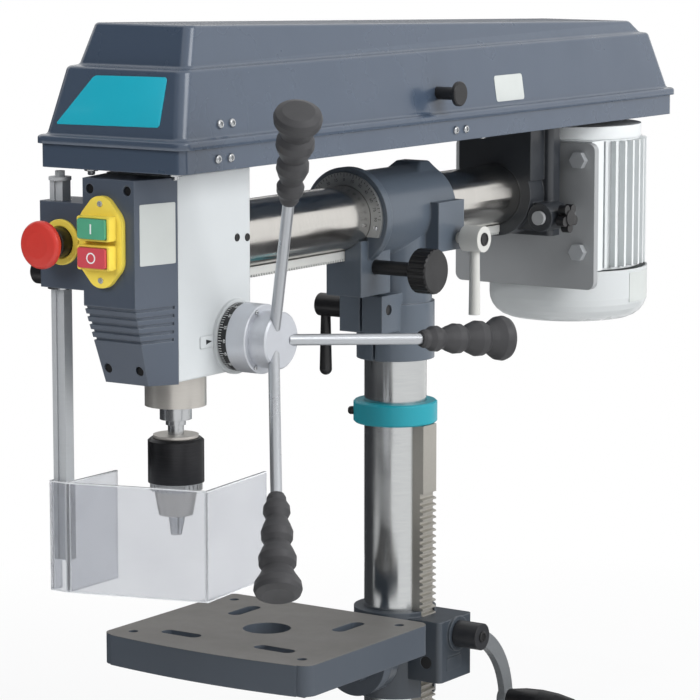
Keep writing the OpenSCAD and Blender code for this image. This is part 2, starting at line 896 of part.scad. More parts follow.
module crank_arm() {
    color("#6d6f70") crank_plane() difference() {
        union() {
            cylinder(r = crank_hub_r, h = crank_hub_l);
            translate([0, 0, crank_hub_l - crank_arm_t - over]) linear_extrude(crank_arm_t) crank_arm_2d();
            translate([crank_reach, 0, crank_hub_l - crank_arm_t - 2 * over])
                cylinder(r = crank_end_r, h = crank_arm_t + 2 * over);
            translate([crank_reach, 0, crank_hub_l - over])
                cylinder(r = crank_pin_r, h = crank_grip_l + 2 * over);
        }
        translate([0, 0, -over]) cylinder(r = worm_shaft_r + fit, h = crank_hub_l);
    }
}

module crank_grip() {
    color(black) crank_plane() translate([crank_reach, 0, crank_hub_l + run]) rotate_extrude()
        polygon([[crank_pin_r + fit, 0],
            [crank_grip_neck_r, 0], [crank_grip_r - over, crank_grip_l / 4],
                [crank_grip_r, crank_grip_l / 2],
            [crank_grip_r - over, crank_grip_l * 3 / 4], [crank_grip_neck_r, crank_grip_l],
                [crank_pin_r + fit, crank_grip_l]]);
}

// Plan of the table, with a bowed front edge; inset draws it smaller all round
module table_2d(inset) {
    bow_r = (pow(table_w / 2, 2) + pow(table_bow, 2)) / (2 * table_bow);
    translate([0, table_mid_y]) {
        rounded_rect(table_w - 2 * inset, table_l - 2 * inset, table_corner_r - inset / 2);
        intersection() {
            translate([0, bow_r - table_l / 2 - table_bow + inset]) circle(bow_r, $fn = 256);
            translate([-table_w / 2 + table_corner_r, -table_l])
                square([table_w - 2 * table_corner_r, table_l]);
        }
    }
}

module work_table() {
    z0 = table_top_z - table_skirt_h;
    color(slate) difference() {
        union() {
            difference() {
                translate([0, 0, z0]) linear_extrude(table_skirt_h) table_2d(0);
                translate([0, 0, z0 - over]) linear_extrude(table_skirt_h - table_plate_h + over)
                    table_2d(table_wall);
            }
            translate([0, table_mid_y, z0])
                cylinder(d = table_hole_d + 2 * table_wall, h = table_skirt_h - over);
            for (a = [45, 135])
                translate([0, table_mid_y, z0]) rotate(a) translate([-table_l / 2, -table_rib_t / 2, 0])
                    cube([table_l, table_rib_t, table_skirt_h - over]);
            translate([-stem_w / 2, table_mid_y + table_hole_d / 2 + table_wall / 2, tilt_z - stem_r])
                cube([stem_w, tilt_face_y - table_mid_y - table_hole_d / 2 - table_wall - tilt_flange_t,
                    z0 - tilt_z + stem_r + over]);
            translate([0, tilt_face_y - run - tilt_flange_t, tilt_z]) along_y()
                cylinder(r = tilt_flange_r, h = tilt_flange_t);
            translate([0, tilt_face_y - run - 2 * tilt_flange_t, tilt_z]) along_y()
                cylinder(r = stem_w / 2, h = tilt_flange_t + over);
        }
        translate([0, table_mid_y, z0 - stem_drop])
            cylinder(d = table_hole_d, h = table_skirt_h + stem_drop + over);
        table_cuts(z0);
        translate([0, tilt_face_y - stem_drop, tilt_z]) along_y()
            cylinder(r = tilt_bolt_r + fit, h = stem_drop + over);
        translate([0, tilt_face_y - tilt_pocket_l - tilt_flange_t - run, tilt_z]) {
            along_y() cylinder(r = tilt_head_r + run, h = tilt_pocket_l);
            translate([-tilt_head_r - run, 0, -stem_drop])
                cube([2 * (tilt_head_r + run), tilt_pocket_l, stem_drop]);
        }
    }
}

module table_cuts(z0) {
    translate([0, table_mid_y, z0 - over]) linear_extrude(table_skirt_h + 2 * over) {
        for (x = [-1, 1]) {
            translate([x * table_front_slot_x, -table_l / 2 + table_front_slot_y])
                slot_2d(table_slot_l, table_slot_w);
            translate([x * table_rear_slot_x, table_l / 2 - table_rear_slot_y]) rotate(90)
                slot_2d(table_slot_l, table_slot_w);
            for (y = [-1, 1])
                translate([x * (table_w / 2 - table_hole_inset), y * (table_l / 2 - table_hole_inset)])
                    circle(d = table_bolt_hole_d);
        }
    }
}

module tilt_bolt() {
    color(steel) translate([0, tilt_face_y - 2 * run - tilt_flange_t, tilt_z]) rotate([90, 0, 0])
        hex_bolt(tilt_head_r, tilt_head_h, tilt_bolt_r, tilt_flange_t - tilt_face_y - column_r - over);
}

module arm_support() {
    color(slate) at_ram() difference() {
        union() {
            translate([0, -sleeve_front, 0]) along_y() {
                cylinder(r = sleeve_r, h = sleeve_front + sleeve_rear);
                cylinder(r = sleeve_flange_r, h = sleeve_flange_l);
            }
            translate([-saddle_pad_w / 2, sleeve_rear - saddle_pad_l, 0])
                cube([saddle_pad_w, saddle_pad_l, sleeve_r + saddle_pad_h]);
            translate([0, 0, -socket_drop]) cylinder(r = socket_r, h = socket_drop - socket_step);
            translate([0, 0, -socket_drop]) cylinder(r = socket_neck_r, h = socket_drop);
            translate([pinion_box_right - pinion_box_w, arm_pinion_y - pinion_box_l / 2,
                -pinion_box_bottom])
                cube([pinion_box_w, pinion_box_l, pinion_box_bottom - sleeve_r / 2]);
            translate([-clamp_ear_w / 2, clamp_ear_y, -clamp_ear_bottom])
                cube([clamp_ear_w, -clamp_ear_y, clamp_ear_bottom - clamp_ear_top]);
            translate([0, lock_ear_y0, -lock_ear_down])
                cube([lock_ear_x, lock_ear_y1 - lock_ear_y0, lock_ear_up + lock_ear_down]);
        }
        translate([0, -bore_front, 0]) along_y()
            cylinder(r = ram_r + fit, h = bore_front + sleeve_rear + over, $fn = 96);
        translate([-arm_rack_w / 2 - run, -bore_front, -arm_rack_tip - run])
            cube([arm_rack_w + 2 * run, bore_front + sleeve_rear + over, arm_rack_tip]);
        translate([0, 0, -socket_drop - over])
            cylinder(r = column_r + fit, h = socket_drop - column_top_gap + run + over, $fn = 96);
        translate([-arm_rack_w / 2 - run, arm_pinion_y, -arm_pinion_z]) along_x()
            cylinder(r = arm_pinion_r + arm_module + run, h = arm_rack_w + 2 * run);
        translate([pinion_box_right - pinion_box_w - over, arm_pinion_y, -arm_pinion_z]) along_x()
            cylinder(r = arm_pinion_r - 2 * arm_module + fit, h = pinion_box_w / 2);
        translate([0, arm_pinion_y, -arm_pinion_z]) along_x()
            cylinder(r = extend_shaft_r + fit, h = extend_shaft_end);
        translate([-clamp_slit / 2, clamp_ear_y - over, -socket_drop - over])
            cube([clamp_slit, -clamp_ear_y, socket_drop - clamp_ear_top + over]);
        translate([-clamp_ear_w, swivel_bolt_y, -swivel_bolt_z]) along_x()
            cylinder(r = swivel_bolt_r + fit, h = 2 * clamp_ear_w);
        translate([ram_r, lock_y, -lock_z]) along_x() cylinder(r = lock_stud_r + fit, h = lock_ear_x);
    }
}

module angle_scale() {
    color(silver) at_ram() translate([0, -sleeve_front - scale_t, 0]) along_y() difference() {
        cylinder(r = scale_r, h = scale_t);
        translate([0, 0, -over]) cylinder(r = ram_r + run, h = scale_t + 2 * over);
        translate([-scale_r - over, scale_drop, -over])
            cube([2 * (scale_r + over), scale_r, scale_t + 2 * over]);
    }
}

module swivel_lever() {
    color(black) at_ram() translate([-clamp_ear_w / 2 - run, swivel_bolt_y, -swivel_bolt_z])
        rotate([0, -90, 0])
        clamp_lever(swivel_bolt_r, clamp_ear_w - over);
}

module arm_lock_lever() {
    stud = lock_ear_x - ram_r - over;
    color(bright) at_ram() translate([lock_ear_x, lock_y, -lock_z]) along_x() {
        translate([0, 0, -stud + ram_r / 2])
            cylinder(r = lock_stud_r, h = stud - ram_r / 2 + lock_hub_gap + over);
        translate([0, 0, lock_hub_gap]) cylinder(r = lock_hub_r, h = lock_hub_l);
        translate([0, 0, lock_hub_gap + lock_hub_l / 2]) along_x()
            cylinder(r1 = lock_handle_r, r2 = lock_tip_r, h = lock_handle_l);
    }
}

module arm_rack() {
    w = arm_rack_w;
    color(bright) at_ram() translate([-w / 2, arm_pinion_y, -arm_pinion_z + arm_pinion_r])
        rotate([90, 0, 90])
        mirror([0, 1, 0]) linear_extrude(w)
            rack_2d(arm_rack_front_y - arm_pinion_y, arm_rack_rear_y - arm_pinion_y, arm_module,
                arm_rack_t - (tip_share + root_share) * arm_module, 0);
}

module extend_pinion() {
    color(steel) at_ram() translate([-arm_rack_w / 2, arm_pinion_y, -arm_pinion_z]) along_x() {
        rotate(180) linear_extrude(arm_rack_w) gear_2d(arm_teeth, arm_module);
        translate([0, 0, arm_rack_w])
            cylinder(r = extend_shaft_r, h = extend_shaft_end + extend_knob_l / 2);
        translate([0, 0, -extend_shaft_r])
            cylinder(r = arm_pinion_r - 2 * arm_module, h = 2 * extend_shaft_r);
    }
}

module extend_knob() {
    r = extend_knob_d / 2;
    color(black) at_ram()
        translate([extend_shaft_end + arm_rack_w / 2 + fit, arm_pinion_y, -arm_pinion_z]) along_x()
            difference() {
        rotate_extrude() polygon([[0, 0], [r - collar_chamfer, 0], [r, collar_chamfer],
            [r, extend_knob_l - collar_chamfer], [r - collar_chamfer, extend_knob_l], [0, extend_knob_l]]);
        for (i = [0 : extend_knob_flutes - 1])
            rotate(i * tau / extend_knob_flutes) translate([r + extend_flute_r / 2, 0, -over])
                cylinder(r = extend_flute_r, h = extend_knob_l + 2 * over, $fn = 16);
        translate([0, 0, -over]) cylinder(r = extend_shaft_r + fit, h = extend_knob_l / 2 + over);
    }
}

module ram_tube() {
    color(steel) at_ram() translate([0, ram_front_y, 0]) along_y() difference() {
        cylinder(r = ram_r, h = ram_rear_y - ram_front_y, $fn = 96);
        translate([0, 0, -over]) cylinder(r = ram_r - ram_wall, h = ram_rear_y - ram_front_y + 2 * over);
    }
}

module head_casting() {
    mid = (head_aft - head_fore) / 2;
    color(pale_grey) at_head() difference() {
        union() {
            translate([0, mid, -head_down]) linear_extrude(head_up + head_down)
                rounded_rect(head_w, head_fore + head_aft, head_corner_r);
            translate([-head_w / 2, -head_fore, -head_down])
                cube([head_w, head_corner_r, head_up + head_down]);
            cylinder(r = head_boss_r, h = pan_up);
            translate([head_w / 2, feed_y, -feed_z]) along_x() cylinder(r = feed_boss_r, h = feed_boss_h);
        }
        translate([0, 0, -head_down - over])
            cylinder(r = quill_r + fit, h = head_down - quill_up + quill_roof + over);
        translate([0, 0, -head_down]) cylinder(r = spindle_r + run, h = head_down + pan_up);
        translate([0, 0, pan_up - pulley_hub_drop]) cylinder(r = pulley_hub_r + fit, h = pan_up);
        translate([0, spindle_reach + ram_front_y - run, 0]) along_y()
            cylinder(r = ram_r + fit, h = head_aft, $fn = 96);
        translate([-feed_pinion_w / 2 - run, feed_y, -feed_z]) along_x()
            cylinder(r = feed_r + feed_module + run, h = feed_pinion_w + 2 * run);
        translate([-head_w, feed_y, -feed_z]) along_x() cylinder(r = feed_shaft_r + fit, h = 2 * head_w);
    }
}

// Outside of the front cover, drawn smaller by inset; back_over runs it past the joint
module cover_form(inset, back_over) {
    face = cover_face_w / 2 - inset;
    back = cover_back_half - inset;
    foot = cover_foot_half - inset;
    front_y = cover_face_y + inset;
    rear_y = -head_fore + back_over;
    plan = [[-back, rear_y], [-face, front_y], [face, front_y], [back, rear_y]];
    foot_plan = [[-back, rear_y], [-foot, front_y + cover_tuck], [foot, front_y + cover_tuck],
        [back, rear_y]];
    hull() {
        translate([0, 0, -cover_slant]) linear_extrude(cover_up + cover_slant - inset) polygon(plan);
        translate([0, 0, -cover_down + inset]) linear_extrude(slice) polygon(foot_plan);
    }
}

module cover_screw_places() {
    for (x = [-1, 1]) {
        translate([x * cover_screw_x, cover_face_y, cover_screw_top]) children();
        translate([x * cover_screw_foot_x, cover_face_y + cover_tuck * cover_foot_share,
            -cover_screw_foot]) children();
    }
}

module front_cover() {
    color(dark_slate) at_head() difference() {
        union() {
            difference() {
                cover_form(0, 0);
                difference() {
                    for (i = [0 : cover_grooves - 1])
                        translate([-head_w, cover_face_y - over,
                            -cover_groove_top - i * cover_groove_gap - cover_groove_h])
                            cube([2 * head_w, cover_l - cover_wall, cover_groove_h]);
                    cover_form(cover_groove, 0);
                }
            }
            translate([-box_left, cover_face_y, -box_down]) difference() {
                linear_extrude(box_up + box_down) translate([(box_left - bar_t) / 2, (cover_l - over) / 2])
                    rounded_rect(box_left - bar_t, cover_l - over, box_r);
            }
        }
        cover_form(cover_wall, over);
        translate([bar_x, bar_y, -box_down - over])
            cylinder(r = collar_fit_r + fit, h = box_up + box_down + 2 * over);
        translate([estop_x, cover_face_y - over, estop_z]) along_y()
            cylinder(r = estop_stem_r + fit, h = estop_stem_l + over);
        translate([-box_left - over, bar_y, -guard_knob_z]) along_x()
            cylinder(r = guard_screw_r + fit, h = -bar_x);
        cover_screw_places() translate([0, -cover_l / 2, 0]) along_y()
            cylinder(r = cover_screw_r, h = cover_l);
    }
}

module cover_screws() {
    color(black) at_head() cover_screw_places() translate([0, -over, 0]) along_y()
        translate([0, 0, cover_wall]) cylinder(r = cover_screw_r - run, h = cover_screw_depth / 2);
}

module switch_plate() {
    crown = switch_crown;
    color(yellow) at_head() translate([switch_x, cover_face_y, switch_z]) rotate([90, 0, 0]) difference() {
        union() {
            linear_extrude(switch_t) polygon([[-switch_half_w, -switch_shoulder], [-crown, -switch_half_h],
                [crown, -switch_half_h], [switch_half_w, -switch_shoulder],
                    [switch_half_w, switch_shoulder],
                [crown, switch_half_h], [-crown, switch_half_h], [-switch_half_w, switch_shoulder]]);
            for (y = [-1, 1])
                translate([0, y * bezel_pitch / 2, 0]) linear_extrude(switch_t + bezel_l)
                    rounded_rect(bezel_w, bezel_h, bezel_wall);
        }
        for (y = [-1, 1])
            translate([0, y * bezel_pitch / 2, switch_t]) linear_extrude(bezel_l + over)
                square([button_w + 2 * run, button_h + 2 * run], center = true);
    }
}

module push_button(side) {
    at_head() translate([switch_x, cover_face_y, switch_z]) rotate([90, 0, 0])
        translate([0, side * bezel_pitch / 2, switch_t + bezel_l + button_proud - button_l])
            linear_extrude(button_l)
            rounded_rect(button_w, button_h, bezel_wall);
}

module start_button() color(green) push_button(1);

module stop_button() color(red) push_button(-1);

module estop_base() {
    color(yellow) at_head() translate([estop_x, cover_face_y, estop_z]) rotate([90, 0, 0]) difference() {
        union() {
            cylinder(r = estop_ring_r, h = estop_ring_t);
            cylinder(r = estop_neck_r, h = estop_ring_t + estop_neck_l);
            translate([0, 0, -estop_stem_l + run]) cylinder(r = estop_stem_r, h = estop_stem_l);
        }
        cylinder(r = estop_pin_r + fit, h = estop_ring_t + estop_neck_l + over);
    }
}

module estop_head() {
    z0 = estop_ring_t + estop_neck_l + estop_gap;
    r = estop_head_r;
    h = estop_head_l;
    color(red) at_head() translate([estop_x, cover_face_y, estop_z]) rotate([90, 0, 0]) rotate_extrude()
        polygon(concat(
        [[0, z0 - estop_gap - estop_neck_l + run], [estop_pin_r, z0 - estop_gap - estop_neck_l + run],
            [estop_pin_r, z0],
            [estop_skirt_r, z0], [r - over, z0 + h * estop_shares[0]], [r, z0 + h * estop_shares[1]]],
        [for (a = [0 : 15 : 75]) [r - h * estop_shares[2] * (1 - cos(a)),
            z0 + h * estop_shares[3] + h * estop_shares[2] * sin(a)]],
        [[r * estop_shares[4], z0 + h * estop_shares[5]], [0, z0 + h]]));
}

module belt_pan() {
    color(slate) at_ram() difference() {
        union() {
            translate([0, pan_mid_y, pan_up]) linear_extrude(pan_h)
                rounded_rect(pan_w, pan_len, pan_corner_r);
            hinge_knuckles(1);
        }
        translate([0, pan_mid_y, pan_up + pan_floor]) linear_extrude(pan_h)
            rounded_rect(pan_w - 2 * pan_wall, pan_len - 2 * pan_wall, pan_corner_r - pan_wall);
        translate([0, -spindle_reach, pan_up - over])
            cylinder(r = pulley_hub_r + over, h = pan_floor + 2 * over);
        translate([0, motor_y, pan_up - over]) rotate(90) linear_extrude(pan_floor + 2 * over)
            slot_2d(2 * motor_slot_l, 2 * motor_slot_r);
        hinge_bores(fit);
    }
}

// Hinge barrels on the far side: the pan carries the outer pair (1), the lid the middle one (0)
module hinge_knuckles(outer) {
    reach = hinge_gap + pan_wall;
    for (y = hinge_y, s = outer == 1 ? [-1, 1] : [0])
        translate([hinge_x, y + s * hinge_l - hinge_l / 2 + run, lid_z0]) {
            along_y() cylinder(r = hinge_r, h = hinge_l - 2 * run);
            translate([0, 0, outer == 1 ? -hinge_r : 0])
                cube([reach, hinge_l - 2 * run, hinge_r - (outer == 1 ? run : 0)]);
        }
}

module hinge_bores(gap) {
    for (y = hinge_y)
        translate([hinge_x, y - 2 * hinge_l, lid_z0]) along_y()
            cylinder(r = hinge_pin_r + gap, h = 4 * hinge_l);
}

module lid_pins() {
    color(steel) at_ram() for (y = hinge_y)
        translate([hinge_x, y - hinge_l * 3 / 2 + run, lid_z0]) along_y()
            cylinder(r = hinge_pin_r, h = 3 * hinge_l - 2 * run);
}

// Four corner posts of one level of the lid
module lid_level(inset, front, rear, r, z, h) {
    for (x = [-1, 1], y = [-pan_front + front + r, pan_rear - rear - r])
        translate([x * (pan_w / 2 - inset - r), y, z]) cylinder(r = r, h = h, $fn = 32);
}

module lid_lower(w, z_low) {
    hull() {
        lid_level(lid_foot_inset + w, lid_foot_inset + w, lid_foot_inset + w, lid_corner_r, z_low, slice);
        lid_level(lid_ledge_inset + w, lid_ledge_front + w, lid_ledge_rear + w, lid_corner_r,
            lid_tier_z - slice - w, slice);
    }
}

module lid_upper(w) {
    hull() {
        lid_level(lid_step_inset + w, lid_step_front + w, lid_step_rear + w, lid_crown_r,
            lid_tier_z - 2 * lid_wall, slice);
        intersection() {
            lid_level(lid_crown_inset + w, lid_crown_front + w, lid_crown_rear + w, lid_crown_r,
                lid_rear_z - slice - w,
                lid_front_z - lid_rear_z + slice);
            translate([-pan_w, -pan_len, 0]) cube([2 * pan_w, pan_len, 2 * lid_front_z]);
        }
        intersection() {
            lid_level(lid_crown_inset + w, lid_crown_front + w, lid_crown_rear + w, lid_crown_r,
                lid_rear_z - slice - w, slice);
            translate([-pan_w, 0, 0]) cube([2 * pan_w, pan_len, 2 * lid_front_z]);
        }
    }
}

module belt_lid() {
    color(slate) at_ram() difference() {
        union() {
            translate([0, pan_mid_y, lid_z0]) linear_extrude(rim_h)
                rounded_rect(pan_w + 2 * rim_proud, pan_len + 2 * rim_proud, pan_corner_r + rim_proud);
            lid_lower(0, lid_z1 - slice);
            lid_upper(0);
            hinge_knuckles(0);
        }
        translate([0, pan_mid_y, lid_z0 - over]) linear_extrude(rim_h + over)
            rounded_rect(pan_w - 2 * lid_foot_inset - 2 * lid_wall,
                pan_len - 2 * lid_foot_inset - 2 * lid_wall, pan_corner_r - lid_wall);
        lid_lower(lid_wall, lid_z1 - over);
        lid_upper(lid_wall);
        hinge_bores(fit);
        translate([0, lid_knob_y, pan_up + lid_knob_up]) along_x()
            cylinder(r = lid_knob_stem_r + fit, h = pan_w);
    }
}

module lid_knob() {
    x0 = pan_w / 2 - lid_ledge_inset - lid_foot_inset;
    color(black) at_ram() translate([x0, lid_knob_y, pan_up + lid_knob_up]) along_x() {
        cylinder(r = lid_knob_stem_r, h = lid_knob_l + lid_knob_flange);
        translate([0, 0, lid_knob_l + lid_knob_flange]) rotate_extrude()
            polygon([[0, -over], [lid_knob_stem_r, -over],
            [lid_knob_r, over], [lid_knob_r, lid_knob_flange - over],
                [lid_knob_r - over, lid_knob_flange], [0, lid_knob_flange]]);
    }
}

// Half section of a step pulley; grow is 1 when the steps widen upwards
module pulley_profile(grow) {
    h = pulley_step_h;
    flank = (h - groove_floor) / 2 - groove_land;
    last = pulley_steps - 1;
    radii = [for (i = [0 : last]) pulley_r - pulley_step * (grow == 1 ? last - i : i)];
    polygon(concat([[0, 0]],
        [for (i = [0 : pulley_steps - 1],
            p = [[0, 0], [0, groove_land], [-groove_depth, groove_land + flank],
            [-groove_depth, h - groove_land - flank], [0, h - groove_land], [0, h]])
            [radii[i] + p[0], i * h + p[1]]],
        [[0, pulley_steps * h]]));
}

module spindle_pulley() {
    color("#a9acae") at_head() difference() {
        union() {
            translate([0, 0, pulley_z0]) rotate_extrude() pulley_profile(1);
            translate([0, 0, pan_up - pulley_hub_drop + run])
                cylinder(r = pulley_hub_r, h = pulley_hub_drop + pulley_gap + pan_floor);
        }
        translate([0, 0, -over])
            cylinder(r = spline_r + fit, h = pulley_z0 + pulley_steps * pulley_step_h + 2 * over);
    }
}

module motor_pulley() {
    color("#a9acae") at_ram() translate([0, motor_y, 0]) {
        translate([0, 0, pulley_z0]) rotate_extrude() pulley_profile(0);
        translate([0, 0, motor_up + run]) cylinder(r = motor_shaft_r, h = pulley_z0 - motor_up);
    }
}

// Section of the belt about the pulley's axis
module belt_section() {
    polygon([[pulley_mid_r - belt_in, -belt_floor_h / 2], [pulley_mid_r + belt_out, -belt_top_h / 2],
        [pulley_mid_r + belt_out, belt_top_h / 2], [pulley_mid_r - belt_in, belt_floor_h / 2]]);
}

module drive_belt() {
    color(black) at_ram() translate([0, 0, belt_z]) {
        translate([0, -spindle_reach, 0]) rotate(180) rotate_extrude(angle = 180) belt_section();
        translate([0, motor_y, 0]) rotate_extrude(angle = 180) belt_section();
        for (s = [0, 1])
            mirror([s, 0, 0]) translate([0, motor_y, 0]) rotate([90, 0, 0])
                linear_extrude(motor_y + spindle_reach) belt_section();
    }
}

module motor_bracket() {
    color(dark_slate) at_ram() difference() {
        union() {
            translate([0, bracket_face_y, 0]) along_y()
                cylinder(r = bracket_boss_r, h = bracket_back_y - bracket_face_y);
            translate([0, (bracket_wall_y + bracket_back_y) / 2, -bracket_boss_r])
                linear_extrude(pan_up + bracket_boss_r)
                rounded_rect(2 * bracket_half, bracket_back_y - bracket_wall_y, bracket_r);
            translate([-bracket_boss_r, bracket_face_y, ram_r / 2])
                cube([2 * bracket_boss_r, bracket_back_y - bracket_face_y - bracket_r, pan_up - ram_r / 2]);
            for (x = [-1, 1]) {
                translate([x * lug_x, bracket_face_y, -lug_z]) along_y()
                    cylinder(r = lug_r, h = lug_rear_y - bracket_face_y);
                translate([x * lug_x / 2 - lug_x / 2, bracket_face_y + bracket_r, -lug_z - lug_r])
                    cube([lug_x, lug_rear_y - bracket_face_y - bracket_r, 2 * lug_r]);
            }
        }
        translate([0, bracket_face_y - over, 0]) along_y()
            cylinder(r = ram_r + fit, h = ram_rear_y - bracket_face_y + 2 * over, $fn = 96);
        for (x = [-1, 1])
            translate([x * lug_x, bracket_face_y - over, -lug_z]) along_y()
                cylinder(r = slide_r + fit, h = bracket_back_y);
        translate([lug_x + slide_r + run, (bracket_face_y + lug_rear_y) / 2, -lug_z]) along_x()
            cylinder(r = wing_screw_r + fit, h = lug_x);
    }
}

module motor_plate() {
    up = (plate_up - plate_down) / 2;
    color("#8b8f95") at_ram() difference() {
        union() {
            translate([0, plate_y, up]) rotate([-90, 0, 0]) linear_extrude(plate_t)
                rounded_rect(plate_w, plate_up + plate_down, plate_corner_r);
            for (x = [-1, 1])
                translate([x * lug_x, slide_front_y, -lug_z]) along_y()
                    cylinder(r = slide_r, h = plate_y - slide_front_y + over);
        }
        plate_bolt_places() translate([0, 0, -over])
            cylinder(r = plate_bolt_r + fit, h = plate_t + 2 * over);
    }
}

module plate_bolt_places() {
    for (x = [-1, 1], z = plate_bolt_zs)
        translate([x * plate_bolt_x, plate_y, z]) along_y() children();
}

module plate_bolts() {
    color(silver) at_ram() plate_bolt_places() rotate([180, 0, 0])
        hex_bolt(plate_head_r, plate_head_h, plate_bolt_r, plate_t + foot_depth / 2);
}

module motor_body() {
    color("#d7dadd") at_ram() difference() {
        union() {
            translate([0, motor_y, -motor_seam]) {
                cylinder(r = motor_core_r, h = motor_up + motor_seam);
                for (i = [0 : motor_fins - 1]) {
                    a = (i + 0.5) * tau / motor_fins;
                    if (sin(a) > -foot_share)
                        rotate(a) translate([motor_core_r - fin_t, -fin_t / 2, fin_t])
                            cube([motor_r - motor_core_r + fin_t, fin_t,
                                motor_up + motor_seam - 2 * fin_t]);
                }
            }
            translate([-plate_bolt_x - plate_head_r, plate_y + plate_t, -motor_seam + fin_t])
                cube([2 * (plate_bolt_x + plate_head_r), foot_depth, motor_seam + motor_up - fin_t]);
            translate([0, motor_y, motor_up - over]) difference() {
                cylinder(r = shield_cap_r, h = shield_cap_h + over);
                translate([0, 0, over]) cylinder(r = motor_shaft_r + fin_t, h = shield_cap_h + over);
            }
        }
        plate_bolt_places() cylinder(r = plate_bolt_r + fit, h = plate_t + foot_depth);
        translate([0, motor_y, motor_up]) cylinder(r = motor_shaft_r + run, h = shield_cap_h);
    }
}

module motor_cowl() {
    r = cowl_r;
    q = cowl_round;
    w = cowl_wall;
    color("#dadde0") at_ram() translate([0, motor_y, 0]) difference() {
        rotate_extrude() polygon(concat([[r - w, -motor_seam - run], [r, -motor_seam - run]],
            [for (a = [0 : 15 : 90]) [r - q + q * cos(a), -cowl_down + q - q * sin(a)]],
            [[0, -cowl_down], [0, -cowl_down + w]],
            [for (a = [90 : -15 : 0]) [r - q + (q - w) * cos(a), -cowl_down + q - (q - w) * sin(a)]]));
        for (i = [1 : vent_rings], k = [0 : 2])
            translate([0, 0, -cowl_down - over]) rotate(k * tau / 3) rotate_extrude(angle = vent_sweep)
                translate([i * vent_gap, 0]) square([vent_w, w + 2 * over]);
    }
}

module wing_bolt() {
    color(black) at_ram() translate([lug_x + lug_r, (bracket_face_y + lug_rear_y) / 2, -lug_z]) along_x() {
        translate([0, 0, -lug_r + slide_r + 2 * run]) cylinder(r = wing_screw_r, h = wing_x - lug_x);
        translate([0, 0, wing_x - lug_x - lug_r + run]) cylinder(r = wing_hub_r, h = wing_hub_l);
        translate([0, 0, wing_x - lug_x - lug_r + run])
            linear_extrude(wing_t) for (i = [0 : wing_count - 1])
            rotate(i * tau / wing_count) {
                translate([0, -wing_tip_r / 2]) square([wing_reach - wing_tip_r, wing_tip_r]);
                translate([wing_reach - wing_tip_r, 0]) circle(wing_tip_r);
            }
    }
}

module spring_housing() {
    color(dark_slate) at_head() translate([-head_w / 2, feed_y, -feed_z]) rotate([0, -90, 0]) difference() {
        rotate_extrude() polygon([[0, 0], [spring_r, 0], [spring_r, spring_l - collar_chamfer * 2],
            [spring_r - collar_chamfer * 2, spring_l],
            [spring_boss_r, spring_l], [spring_boss_r, spring_l + spring_boss_l],
                [0, spring_l + spring_boss_l]]);
        translate([0, 0, -over]) cylinder(r = feed_shaft_r + fit, h = spring_l + over);
    }
}

module quill() {
    back = quill_rack_tip - (tip_share + root_share) * feed_module - quill_r / 2;
    slot_x = quill_rack_tip - quill_slot_floor;
    color(steel) at_head() {
        difference() {
            translate([0, 0, -quill_down]) cylinder(r = quill_r, h = quill_down - quill_up, $fn = 96);
            translate([0, 0, -quill_down - over]) cylinder(r = spindle_r + fit, h = quill_down + 2 * over);
            translate([-quill_slot_w / 2, slot_x, -head_down]) cube([quill_slot_w, quill_r, head_down]);
        }
        translate([-quill_slot_w / 2, feed_y - feed_r, -feed_z]) rotate([0, -90, 0]) mirror([0, 0, 1])
            linear_extrude(quill_slot_w) rack_2d(-head_down + feed_z, feed_z - quill_up, feed_module,
                quill_slot_floor - (tip_share + root_share) * feed_module + over, 0);
    }
}

module spindle() {
    color(silver) at_head() {
        translate([0, 0, -quill_down]) cylinder(r = spindle_r, h = quill_down - quill_up);
        translate([0, 0, -quill_up]) cylinder(r = spline_r, h = spline_up + quill_up);
        translate([0, 0, -quill_down - nose_l]) cylinder(r = nose_r, h = nose_l - run);
        translate([0, 0, -quill_down - nose_l]) cylinder(r = spindle_r, h = nose_l + over);
        translate([0, 0, -quill_down - nose_l - nut_l]) cylinder(r = nut_r, h = nut_l + over);
        translate([0, 0, -chuck_top]) cylinder(r = arbor_r, h = arbor_l + over);
        translate([0, 0, -chuck_top - taper_l]) cylinder(r = taper_r, h = taper_l + over);
    }
}

// Places one of the three slanted jaw axes; z = 0 is the jaw's tip
module jaw_place(i) {
    rotate(i * 120 - 90) translate([jaw_gap, 0, -jaw_tip_z]) rotate([0, jaw_lean, 0]) children();
}

module chuck_body() {
    z_ring = -chuck_top - chuck_sleeve_h;
    color("#8f9193") at_head() difference() {
        union() {
            translate([0, 0, -chuck_top - chuck_cap_h]) cylinder(r = chuck_cap_r, h = chuck_cap_h);
            translate([0, 0, z_ring - chuck_ring_h])
                cylinder(r = chuck_core_r, h = chuck_sleeve_h + chuck_ring_h - over);
            translate([0, 0, -chuck_bottom])
                cylinder(r1 = chuck_nose_r, r2 = chuck_core_r + over, h = chuck_nose_h);
        }
        translate([0, 0, -chuck_top - taper_l - over]) cylinder(r = taper_r + fit, h = taper_l + 2 * over);
        for (i = [0 : 2])
            jaw_place(i) cylinder(r = jaw_d / 2 + fit, h = jaw_l + jaw_travel + over);
        translate([0, 0, -chuck_bottom - over]) cylinder(r = jaw_d / 2, h = chuck_nose_h + over);
    }
}

